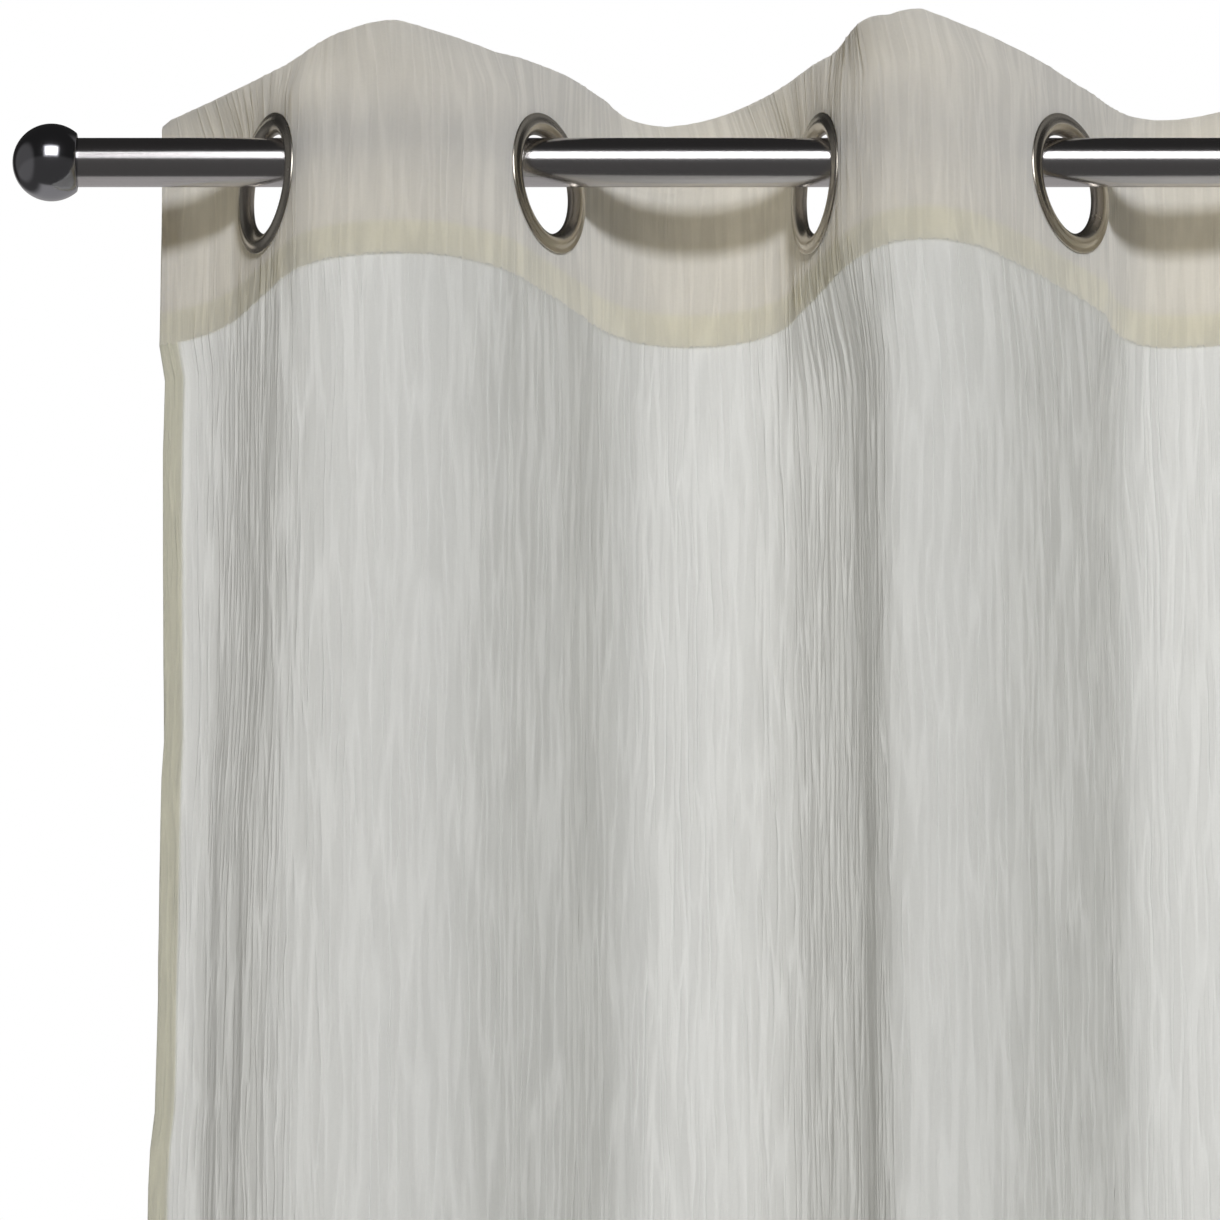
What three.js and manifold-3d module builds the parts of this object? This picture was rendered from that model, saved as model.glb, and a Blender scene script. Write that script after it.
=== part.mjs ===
// A sheer voile curtain on eyelets, with the rod that it hangs from.
//
// Millimetres, +Z up. The origin is on the rod's axis at the middle of its length, the rod runs along X,
// and the face of the curtain looks towards -Y. Across is a distance along X, and forward is a distance
// towards the face, so a point of the curtain's plan is [across, -forward].

import * as THREE from 'three';
import { mergeVertices } from 'three/addons/utils/BufferGeometryUtils.js';
import Module from 'manifold-3d';

const wasm = await Module();
wasm.setup();

// ---------------------------------------------------------------- driving sizes

const ROD = {
  radius: 10,
  bareHalfLength: 456, // from the middle to the face of a finial
  socketDepth: 8, // how far each end goes into its finial
  seatMargin: 6, // from the cloth and from a finial to the stretch that a bracket carries
  sides: 32,
};

const FINIAL = {
  radius: 15.8,
  cutFromCentre: 10.5, // the flat face that the rod comes out of
  sides: 24,
  arcSteps: 8,
};

const CLEARANCE = 0.3; // between two pieces that touch

const CLOTH = {
  thickness: 1.2,
  top: 40.6, // above the rod's axis
  drop: 2400, // from the top edge to the foot
  headingDepth: 98,
  halfWidth: 423, // from the middle to a side edge, as hung
  edgeForward: -57,
  edgeAngle: 27, // how far the side strips turn from the rod's line
  sideHemColumns: 1, // the strip beside each edge that is folded over
  footHem: 40,
  hemThickness: 2.2,
};

const EYELET = {
  radius: 29,
  hole: 20,
  barrel: 22,
  backHole: 21.6,
  belowRod: 9.4, // from the rod's axis down to an eyelet's centre
  clothHole: 22.6,
  sides: 24,
};

// How the cloth's plan changes down its height: loose at the top edge, held flat at the rings,
// folded tighter in the body, and a little wider at the foot.
const STATION = {
  ringTop: 21,
  ringFoot: -40,
  bodyTop: -110,
};

// The half-length of cloth on each side of an eyelet's centre that runs straight.
const STRAIGHT = { edge: 8, ring: 29.5, body: 14, foot: 14 };

// Eyelets from left to right. An angle is the cloth's turn from the rod's line, in degrees:
// above 0 it comes forward as it goes right. The shifts move the fold's wall sideways.
const EYELETS = [
  { across: -380.0, edgeAngle: 52, ringAngle: 67.7, bodyAngle: 74, bodyShift: 0, footShift: 4 },
  { across: -264.5, edgeAngle: -54, ringAngle: -62.0, bodyAngle: -60, bodyShift: 0, footShift: -6 },
  { across: -156.5, edgeAngle: 63, ringAngle: 72.8, bodyAngle: 65, bodyShift: 6, footShift: 9 },
  { across: -53.5, edgeAngle: -56, ringAngle: -57.5, bodyAngle: -48, bodyShift: 4, footShift: -3 },
  { across: 57.5, edgeAngle: 56, ringAngle: 66.0, bodyAngle: 70, bodyShift: 2, footShift: 8 },
  { across: 163.5, edgeAngle: -55, ringAngle: -61.0, bodyAngle: -62, bodyShift: 0, footShift: -5 },
  { across: 272.5, edgeAngle: 58, ringAngle: 69.0, bodyAngle: 72, bodyShift: 3, footShift: 5 },
  { across: 380.0, edgeAngle: -54, ringAngle: -64.0, bodyAngle: -66, bodyShift: 0, footShift: -4 },
];

// The folds between the eyelets. across and forward place a fold's crest at the top edge, in the body
// and at the foot. peak is how soon the top edge turns away right of its crest. leave and arrive are
// the cloth's angles just after the eyelet on the left and just before the one on the right.
const FOLDS = [
  {
    edge: { across: -328, forward: 53 },
    body: { across: -320, forward: 44 },
    foot: { across: -316, forward: 50 },
    peak: 0.05,
    leave: 50,
    arrive: -36,
  },
  {
    edge: { across: -217, forward: -60 },
    body: { across: -207, forward: -60 },
    foot: { across: -211, forward: -52 },
    peak: 0.3,
    leave: -70,
    arrive: 80,
  },
  {
    edge: { across: -120, forward: 66 },
    body: { across: -114, forward: 59 },
    foot: { across: -106, forward: 63 },
    peak: 0.05,
    leave: 62,
    arrive: -46,
  },
  {
    edge: { across: -7, forward: -56 },
    body: { across: -12, forward: -60 },
    foot: { across: -4, forward: -55 },
    peak: 0.3,
    leave: -88,
    arrive: 68,
  },
  {
    edge: { across: 110, forward: 62 },
    body: { across: 112, forward: 57 },
    foot: { across: 105, forward: 51 },
    peak: 0.2,
    leave: 58,
    arrive: -50,
  },
  {
    edge: { across: 219, forward: -64 },
    body: { across: 221, forward: -63 },
    foot: { across: 226, forward: -57 },
    peak: 0.3,
    leave: -66,
    arrive: 64,
  },
  {
    edge: { across: 326, forward: 60 },
    body: { across: 328, forward: 56 },
    foot: { across: 322, forward: 61 },
    peak: 0.2,
    leave: 60,
    arrive: -54,
  },
];

// How far the top edge rises above its even line or dips below it, by its place across.
const TOP_EDGE = [
  { across: -423, lift: 0 },
  { across: -345, lift: -2 },
  { across: -325, lift: 0 },
  { across: -287, lift: -2 },
  { across: -262, lift: 2 },
  { across: -243, lift: 5 },
  { across: -234, lift: 1.5 },
  { across: -217, lift: 0 },
  { across: -157, lift: 4 },
  { across: -142, lift: 0 },
  { across: -128, lift: -3 },
  { across: -115, lift: 0 },
  { across: -50, lift: -3.5 },
  { across: -25, lift: 0 },
  { across: 10, lift: 3 },
  { across: 60, lift: 0 },
  { across: 140, lift: -3 },
  { across: 185, lift: 2 },
  { across: 270, lift: 3 },
  { across: 300, lift: -2 },
  { across: 360, lift: 1 },
  { across: 423, lift: 0 },
];

// Cloth rows below the heading, where the folds are drawn.
const BODY_ROWS = [-110, -300, -560, -900, -1300, -1750];

// Columns of cloth on each stretch of the plan.
const STEPS = { edge: 5, halfFold: 6 };

const HANDLE = 0.38; // of a stretch's length: how far its curve holds the direction of its end

// ---------------------------------------------------------------- finishes

const finish = (color, roughness, metalness) => new THREE.MeshStandardMaterial({ color, roughness, metalness });
const VOILE = finish(0xe4e2da, 0.9, 0);
const HEADING = finish(0xdcd7c6, 0.9, 0);
const SATIN_NICKEL = finish(0x8d877c, 0.35, 1);
const SATIN_STEEL = finish(0x8a878a, 0.3, 1);
const DARK_CHROME = finish(0x1c1c20, 0.1, 1);

// ---------------------------------------------------------------- the cloth's plan

const direction = (degrees) => {
  const turn = THREE.MathUtils.degToRad(degrees);
  return new THREE.Vector2(Math.cos(turn), Math.sin(turn));
};

/** The points of a curve from the plan's last point to another, which leaves and arrives at given angles. */
function curveTo(plan, to, steps, leave, arrive, startHandle = HANDLE, endHandle = HANDLE) {
  const from = plan[plan.length - 1];
  const length = from.distanceTo(to);
  const curve = new THREE.CubicBezierCurve(
    from,
    from.clone().addScaledVector(direction(leave), length * startHandle),
    to.clone().addScaledVector(direction(arrive), -length * endHandle),
    to,
  );
  plan.push(...curve.getPoints(steps).slice(1));
}

/** Where the cloth crosses the rod's line at an eyelet, and how it is turned there, at one station. */
function wallAt(eyelet, station) {
  const shift = { edge: 0, ring: 0, body: eyelet.bodyShift, foot: eyelet.footShift }[station];
  const angle = { edge: eyelet.edgeAngle, ring: eyelet.ringAngle }[station] ?? eyelet.bodyAngle;
  const centre = new THREE.Vector2(eyelet.across + shift, 0);
  return { centre, angle, half: direction(angle).multiplyScalar(STRAIGHT[station]) };
}

/** The cloth's plan at one station, as points [across, forward] from its left edge to its right edge. */
function planAt(station) {
  const atEdge = station === 'edge';
  const plan = [new THREE.Vector2(-CLOTH.halfWidth, CLOTH.edgeForward)];
  let before = null;
  EYELETS.forEach((eyelet, index) => {
    const wall = wallAt(eyelet, station);
    const start = wall.centre.clone().sub(wall.half);
    if (before) {
      const fold = FOLDS[index - 1];
      const place = fold[station] ?? fold.body;
      const crest = new THREE.Vector2(place.across, place.forward);
      curveTo(plan, crest, STEPS.halfFold, atEdge ? before.angle : fold.leave, 0);
      const arrive = atEdge ? wall.angle : fold.arrive;
      curveTo(plan, start, STEPS.halfFold, 0, arrive, atEdge ? fold.peak : HANDLE);
    } else {
      curveTo(plan, start, STEPS.edge, atEdge ? wall.angle : CLOTH.edgeAngle, wall.angle);
    }
    plan.push(wall.centre, wall.centre.clone().add(wall.half));
    before = wall;
  });
  const rightEdge = new THREE.Vector2(CLOTH.halfWidth, CLOTH.edgeForward);
  curveTo(plan, rightEdge, STEPS.edge, before.angle, atEdge ? before.angle : -CLOTH.edgeAngle);
  return plan;
}

const PLANS = { edge: planAt('edge'), ring: planAt('ring'), body: planAt('body'), foot: planAt('foot') };
const FOOT = CLOTH.top - CLOTH.drop;

/** The cloth's plan at a height, blended between the stations above and below it. */
function planAtHeight(z) {
  const blend = (upper, lower, share) =>
    PLANS[upper].map((point, column) => point.clone().lerp(PLANS[lower][column], share));
  if (z >= STATION.ringTop) return blend('edge', 'ring', (CLOTH.top - z) / (CLOTH.top - STATION.ringTop));
  if (z >= STATION.ringFoot) return PLANS.ring;
  if (z >= STATION.bodyTop) {
    return blend('ring', 'body', (STATION.ringFoot - z) / (STATION.ringFoot - STATION.bodyTop));
  }
  return blend('body', 'foot', THREE.MathUtils.smoothstep(STATION.bodyTop - z, 0, STATION.bodyTop - FOOT));
}

/** The lift of the top edge at a place across, read between the rows of its table. */
function topLift(across) {
  const next = TOP_EDGE.findIndex((row) => row.across >= across);
  if (next <= 0) return 0;
  const [a, b] = [TOP_EDGE[next - 1], TOP_EDGE[next]];
  return THREE.MathUtils.lerp(a.lift, b.lift, (across - a.across) / (b.across - a.across));
}

// ---------------------------------------------------------------- sheets of cloth

/** The face's direction in the plan at a column: square to the line between its neighbours. */
function faceNormal(plan, column) {
  const before = plan[Math.max(column - 1, 0)];
  const after = plan[Math.min(column + 1, plan.length - 1)];
  const along = after.clone().sub(before).normalize();
  return new THREE.Vector2(-along.y, along.x);
}

/**
 * A closed sheet that hangs on the cloth's plan. heights lists its rows from the top. surfaces gives, for a
 * row's height and a column, how far the front and back surfaces stand in front of the plan's line.
 */
function hangSheet(heights, surfaces) {
  const positions = [];
  const columns = PLANS.ring.length;
  for (const height of heights) {
    const plan = planAtHeight(height);
    plan.forEach((point, column) => {
      const normal = faceNormal(plan, column);
      const z = height === CLOTH.top ? height + topLift(point.x) : height;
      for (const offset of surfaces(height, column)) {
        positions.push(point.x + normal.x * offset, -(point.y + normal.y * offset), z);
      }
    });
  }
  const front = (row, column) => 2 * (row * columns + column);
  const back = (row, column) => front(row, column) + 1;
  const triangles = [];
  const quad = (a, b, c, d) => triangles.push(a, b, c, a, c, d);
  const lastRow = heights.length - 1;
  const lastColumn = columns - 1;
  for (let row = 0; row < lastRow; row += 1) {
    for (let column = 0; column < lastColumn; column += 1) {
      quad(front(row, column), front(row + 1, column), front(row + 1, column + 1), front(row, column + 1));
      quad(back(row, column), back(row, column + 1), back(row + 1, column + 1), back(row + 1, column));
    }
    quad(back(row, 0), back(row + 1, 0), front(row + 1, 0), front(row, 0));
    quad(
      front(row, lastColumn),
      front(row + 1, lastColumn),
      back(row + 1, lastColumn),
      back(row, lastColumn),
    );
  }
  for (let column = 0; column < lastColumn; column += 1) {
    quad(front(0, column), front(0, column + 1), back(0, column + 1), back(0, column));
    quad(
      back(lastRow, column),
      back(lastRow, column + 1),
      front(lastRow, column + 1),
      front(lastRow, column),
    );
  }
  const sheet = new THREE.BufferGeometry();
  sheet.setAttribute('position', new THREE.Float32BufferAttribute(positions, 3));
  sheet.setIndex(triangles);
  return sheet;
}

/** A three.js geometry as a solid of the boolean library. */
function toSolid(geometry) {
  const bare = geometry.clone();
  bare.deleteAttribute('normal');
  bare.deleteAttribute('uv');
  const merged = mergeVertices(bare, 1e-4);
  return new wasm.Manifold(
    new wasm.Mesh({
      numProp: 3,
      vertProperties: merged.attributes.position.array,
      triVerts: Uint32Array.from(merged.index.array),
    }),
  );
}

/** A solid of the boolean library as a three.js geometry. */
function toGeometry(solid) {
  const { vertProperties, triVerts } = solid.getMesh();
  const geometry = new THREE.BufferGeometry();
  geometry.setAttribute('position', new THREE.BufferAttribute(vertProperties, 3));
  geometry.setIndex(new THREE.BufferAttribute(triVerts, 1));
  geometry.computeVertexNormals();
  return geometry;
}

/** Places a thing at an eyelet: its own -Y then looks out of the cloth's face. */
function seatAtEyelet(object, eyelet) {
  object.position.set(eyelet.across, 0, -EYELET.belowRod);
  object.rotation.z = -THREE.MathUtils.degToRad(eyelet.ringAngle);
  object.updateMatrix();
  return object;
}

/** A sheet with a round hole cut at each eyelet. */
function withEyeletHoles(sheet) {
  const cutterLength = 12;
  const cutter = new THREE.CylinderGeometry(EYELET.clothHole, EYELET.clothHole, cutterLength, EYELET.sides);
  const cut = EYELETS.reduce((solid, eyelet) => {
    const seat = seatAtEyelet(new THREE.Object3D(), eyelet);
    return solid.subtract(toSolid(cutter.clone().applyMatrix4(seat.matrix)));
  }, toSolid(sheet));
  return toGeometry(cut);
}

const LAYER = { inner: CLEARANCE / 2, outer: CLEARANCE / 2 + CLOTH.thickness };

/** The voile panel, from the top edge to the foot. Its side hems and foot hem are doubled towards the back. */
function curtainPanel() {
  const headingFoot = CLOTH.top - CLOTH.headingDepth;
  const underBand = headingFoot - 1;
  const hemTop = FOOT + CLOTH.footHem;
  const rows = [CLOTH.top, STATION.ringTop, STATION.ringFoot, headingFoot, underBand, ...BODY_ROWS];
  const lastColumn = PLANS.ring.length - 1;
  const surfaces = (height, column) => {
    const beside = Math.min(column, lastColumn - column) <= CLOTH.sideHemColumns;
    const doubled = (beside && height < underBand) || height <= hemTop;
    return [LAYER.outer, doubled ? LAYER.outer - CLOTH.hemThickness : LAYER.inner];
  };
  return withEyeletHoles(hangSheet([...rows, hemTop + 2, hemTop, FOOT], surfaces));
}

/** The turned-down heading, which backs the top of the panel. */
function headingBand() {
  const rows = [CLOTH.top, STATION.ringTop, STATION.ringFoot, CLOTH.top - CLOTH.headingDepth];
  return withEyeletHoles(hangSheet(rows, () => [-LAYER.inner, -LAYER.outer]));
}

// ---------------------------------------------------------------- eyelets

/** A ring turned about the axis out of the cloth, from a closed outline of [radius, height] points. */
function turnedRing(outline) {
  const points = [...outline, outline[0]].map(([radius, height]) => new THREE.Vector2(radius, height));
  return new THREE.LatheGeometry(points, EYELET.sides).rotateX(Math.PI);
}

/** The face ring: a barrel through the cloth, and a flange that rises to a rounded lip at the hole. */
function eyeletFront() {
  const seat = LAYER.outer + CLEARANCE;
  const lip = seat + 3;
  return turnedRing([
    [EYELET.hole, -LAYER.outer],
    [EYELET.barrel, -LAYER.outer],
    [EYELET.barrel, seat],
    [EYELET.radius, seat],
    [EYELET.radius, seat + 0.5],
    [EYELET.hole + 3.2, lip],
    [EYELET.hole + 1.2, lip - 0.6],
    [EYELET.hole, lip - 2.4],
  ]);
}

/** The closing ring behind the cloth. */
function eyeletBack() {
  const seat = -LAYER.outer - CLEARANCE;
  return turnedRing([
    [EYELET.backHole, seat - 1.2],
    [EYELET.backHole + 2.9, seat - 1.9],
    [EYELET.radius, seat - 0.5],
    [EYELET.radius, seat],
    [EYELET.backHole, seat],
  ]);
}

// ---------------------------------------------------------------- rod and finials

/** The rod. One flat of its sides looks straight down, and cross-lines end the stretch for each bracket. */
function rodShape() {
  const end = ROD.bareHalfLength + ROD.socketDepth - CLEARANCE;
  const seatOuter = ROD.bareHalfLength - ROD.seatMargin;
  const seatInner = CLOTH.halfWidth + ROD.seatMargin;
  const sideLines = [-end, -seatOuter, -seatInner, seatInner, seatOuter, end];
  const side = sideLines.map((along) => new THREE.Vector2(ROD.radius, along));
  const outline = [new THREE.Vector2(0, -end), ...side, new THREE.Vector2(0, end)];
  const halfStep = Math.PI / ROD.sides;
  return new THREE.LatheGeometry(outline, ROD.sides, halfStep).rotateZ(-Math.PI / 2);
}

/** A ball with a flat cut and a socket for the rod's end. The ball's centre is at the origin, the cut at +X. */
function finialShape() {
  const cut = FINIAL.cutFromCentre;
  const socket = ROD.radius + CLEARANCE;
  const fullTurn = Math.PI;
  const cutTurn = Math.acos(cut / FINIAL.radius);
  const outline = [];
  for (let step = 0; step <= FINIAL.arcSteps; step += 1) {
    const turn = THREE.MathUtils.lerp(fullTurn, cutTurn, step / FINIAL.arcSteps);
    const radius = step === 0 ? 0 : FINIAL.radius * Math.sin(turn);
    outline.push(new THREE.Vector2(radius, FINIAL.radius * Math.cos(turn)));
  }
  outline.push(new THREE.Vector2(socket, cut));
  outline.push(new THREE.Vector2(socket, cut - ROD.socketDepth));
  outline.push(new THREE.Vector2(0, cut - ROD.socketDepth));
  return new THREE.LatheGeometry(outline, FINIAL.sides).rotateZ(-Math.PI / 2);
}

// ---------------------------------------------------------------- assembly

function named(name, geometry, material) {
  const mesh = new THREE.Mesh(geometry, material);
  mesh.name = name;
  return mesh;
}

function rodWithFinials() {
  const group = new THREE.Group();
  group.add(named('rod', rodShape(), SATIN_STEEL));
  const left = named('finial_left', finialShape(), DARK_CHROME);
  left.position.x = -(ROD.bareHalfLength + FINIAL.cutFromCentre);
  const right = named('finial_right', finialShape(), DARK_CHROME);
  right.position.x = -left.position.x;
  right.rotation.z = Math.PI;
  group.add(left, right);
  return group;
}

function curtain() {
  const group = new THREE.Group();
  group.add(named('curtain_panel', curtainPanel(), VOILE));
  group.add(named('heading_band', headingBand(), HEADING));
  EYELETS.forEach((eyelet, index) => {
    const pair = seatAtEyelet(new THREE.Group(), eyelet);
    pair.add(named(`eyelet_front_${index + 1}`, eyeletFront(), SATIN_NICKEL));
    pair.add(named(`eyelet_back_${index + 1}`, eyeletBack(), SATIN_NICKEL));
    group.add(pair);
  });
  return group;
}

const curtainOnRod = new THREE.Group();
curtainOnRod.add(rodWithFinials(), curtain());

export default curtainOnRod;
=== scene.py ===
"""Dresses a sheer voile curtain, its eyelets, its rod and the rod's ball ends.

The part's own frame holds everything: +Z up, the rod along X, and the face of the curtain towards -Y.
Meshes are in metres. The tables and sizes of the cloth, rings and rod are in millimetres, as a maker
writes them, and MM turns them into metres. Across is a distance along X, forward is a distance towards
the face, and depth is a distance down the cloth from its top edge.
"""

import logging
import math
from collections.abc import Callable, Iterable
from dataclasses import dataclass, field
from enum import Enum

import bpy
import numpy as np
from mathutils import Matrix, Vector


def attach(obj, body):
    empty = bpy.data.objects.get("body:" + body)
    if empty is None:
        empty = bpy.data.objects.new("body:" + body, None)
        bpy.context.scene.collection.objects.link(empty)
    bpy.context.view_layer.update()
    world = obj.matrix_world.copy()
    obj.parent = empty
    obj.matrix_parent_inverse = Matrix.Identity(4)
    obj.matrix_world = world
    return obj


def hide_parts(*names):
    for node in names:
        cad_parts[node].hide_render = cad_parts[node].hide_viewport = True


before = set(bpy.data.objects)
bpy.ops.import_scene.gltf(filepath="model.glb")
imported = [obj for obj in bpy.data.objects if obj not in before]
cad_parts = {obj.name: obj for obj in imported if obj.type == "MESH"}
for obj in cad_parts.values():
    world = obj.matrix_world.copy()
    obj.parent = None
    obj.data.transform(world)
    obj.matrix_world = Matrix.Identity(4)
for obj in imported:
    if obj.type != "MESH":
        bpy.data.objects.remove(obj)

Array = np.ndarray
Piece = bpy.types.Object
Material = bpy.types.Material
Socket = bpy.types.NodeSocket
Pair = tuple[float, float]
Colour = tuple[float, float, float, float]

MM = 0.001
# A distance that counts as none, and how much of a normal lies along X where a face looks along it.
TINY = 1e-6
ALONG_X = 0.99
BODY = "root"
CLOTH_MAP = "flat_cloth"
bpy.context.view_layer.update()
LOG = logging.getLogger("curtain")


# ---------------------------------------------------------------- names


class Slot(Enum):
    """The record's material slots."""

    VOILE = "voile"
    HEADING = "heading"
    NICKEL = "eyelet_nickel"
    STEEL = "rod_steel"
    DARK_CHROME = "finial_dark"


class Station(Enum):
    """The heights of the cloth at which its plan is drawn."""

    EDGE = "edge"
    RING = "ring"
    BODY = "body"
    FOOT = "foot"


class RingHalf(Enum):
    """The two halves that an eyelet is pressed together from."""

    FRONT = "front"
    BACK = "back"


# ---------------------------------------------------------------- the cloth's tables


@dataclass(frozen=True)
class Wall:
    """The cloth where it crosses the rod's line at one eyelet, in millimetres and degrees.

    An angle is the cloth's turn from the rod's line: above 0 it comes forward as it goes right.
    The shifts move the wall sideways below its eyelet.
    """

    across: float
    edge_angle: float
    ring_angle: float
    body_angle: float
    body_shift: float
    foot_shift: float


@dataclass(frozen=True)
class Crest:
    """The place of a fold's crest in the cloth's plan."""

    across: float
    forward: float


@dataclass(frozen=True)
class Fold:
    """One fold between two eyelets.

    peak is how soon the top edge turns away right of its crest. leave and arrive are the cloth's
    angles just after the eyelet on the left and just before the one on the right.
    """

    edge: Crest
    body: Crest
    foot: Crest
    peak: float
    leave: float
    arrive: float


WALLS = (
    Wall(-378.0, 52, 66.1, 68, -1, 4),
    Wall(-266.1, -54, -60.3, -52, 1.6, -4.4),
    Wall(-155.3, 63, 72.4, 66, 6.8, 8.8),
    Wall(-54.6, -56, -55.8, -58, 3.1, -1.9),
    Wall(57.5, 56, 66.0, 64, 2, 8),
    Wall(163.5, -55, -61.0, -56, 0, -5),
    Wall(272.5, 58, 69.0, 65, 3, 5),
    Wall(380.0, -54, -64.0, -62, 0, -4),
)

FOLDS = (
    Fold(Crest(-328, 53), Crest(-320, 44), Crest(-316, 50), 0.05, 50, -36),
    Fold(Crest(-217, -60), Crest(-207, -60), Crest(-211, -52), 0.3, -70, 80),
    Fold(Crest(-120, 66), Crest(-114, 59), Crest(-106, 63), 0.05, 62, -46),
    Fold(Crest(-7, -56), Crest(-12, -60), Crest(-4, -55), 0.3, -88, 68),
    Fold(Crest(110, 62), Crest(112, 57), Crest(105, 51), 0.2, 58, -50),
    Fold(Crest(219, -64), Crest(221, -63), Crest(226, -57), 0.3, -66, 64),
    Fold(Crest(326, 60), Crest(328, 56), Crest(322, 61), 0.2, 60, -54),
)

# The curtain's drop, and how far its eyelets' centres hang below the rod's axis.
DROP = 2400.0
EYELET_BELOW_ROD = 9.4

# How far the top edge rises above its even line or dips below it: (across, lift).
TOP_EDGE = (
    *((-423, -1.6), (-419, 0), (-345, -2), (-325, 0), (-287, -2), (-262, 2), (-243, 5), (-234, 1.5)),
    *((-217, 0), (-157, 4), (-142, 0), (-128, -3), (-115, 0), (-50, -3.5), (-25, 0), (10, 3)),
    *((60, 0), (140, -3), (185, 2), (270, 3), (300, -2), (360, 1), (423, 0)),
)

# How far the first wall leans right as it goes down the cloth: (depth, lean).
FIRST_WALL = ((0, 0), (250, 0), (316, -3), (401, -4.5), (467, -5), (1000, -3), (2400, 0))

# How far each side edge leans in towards the middle, down the cloth: (depth, lean).
SIDE_EDGE = (
    *((0, -1), (80, -1), (98, -1.2), (114, 1.4), (150, 1), (245, 2.8), (268, 3.4), (295, 2.4)),
    *((390, 2.6), (425, 2.2), (447, 0), (700, -1.5), (1100, 2), (1600, -1), (2400, 0)),
)


@dataclass(frozen=True)
class Crease:
    """A soft ridge in the cloth, or a trough where its height is below 0.

    start and end are (flat across from the left edge, depth).
    """

    start: Pair
    end: Pair
    width: float
    height: float


CREASES = (
    Crease((588, 118), (560, 215), 7, 1.3),
    Crease((640, 120), (602, 235), 9, -1.2),
    Crease((232, 130), (252, 330), 10, -1.0),
    Crease((130, 160), (142, 520), 8, 0.9),
    Crease((370, 150), (362, 600), 10, -0.8),
    Crease((492, 140), (500, 700), 7, -0.8),
    Crease((905, 130), (930, 320), 9, 1.2),
    Crease((1080, 150), (1062, 620), 9, -1.1),
    Crease((1235, 140), (1228, 480), 8, 1.0),
)


# ---------------------------------------------------------------- the cloth's plan


def direction(degrees: float) -> Array:
    """A unit step in the plan, as (across, forward), turned from the rod's line."""
    turn = math.radians(degrees)
    return np.array([math.cos(turn), math.sin(turn)])


def smoothstep(value: Array | float, low: float, high: float) -> Array:
    """A soft step from 0 at low to 1 at high."""
    share = np.clip((np.asarray(value, float) - low) / (high - low), 0, 1)
    return share * share * (3 - 2 * share)


@dataclass(frozen=True)
class Crossing:
    """A wall at one station: its centre and angle, and where its straight stretch starts and ends."""

    centre: Array
    angle: float
    start: Array
    end: Array


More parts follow.
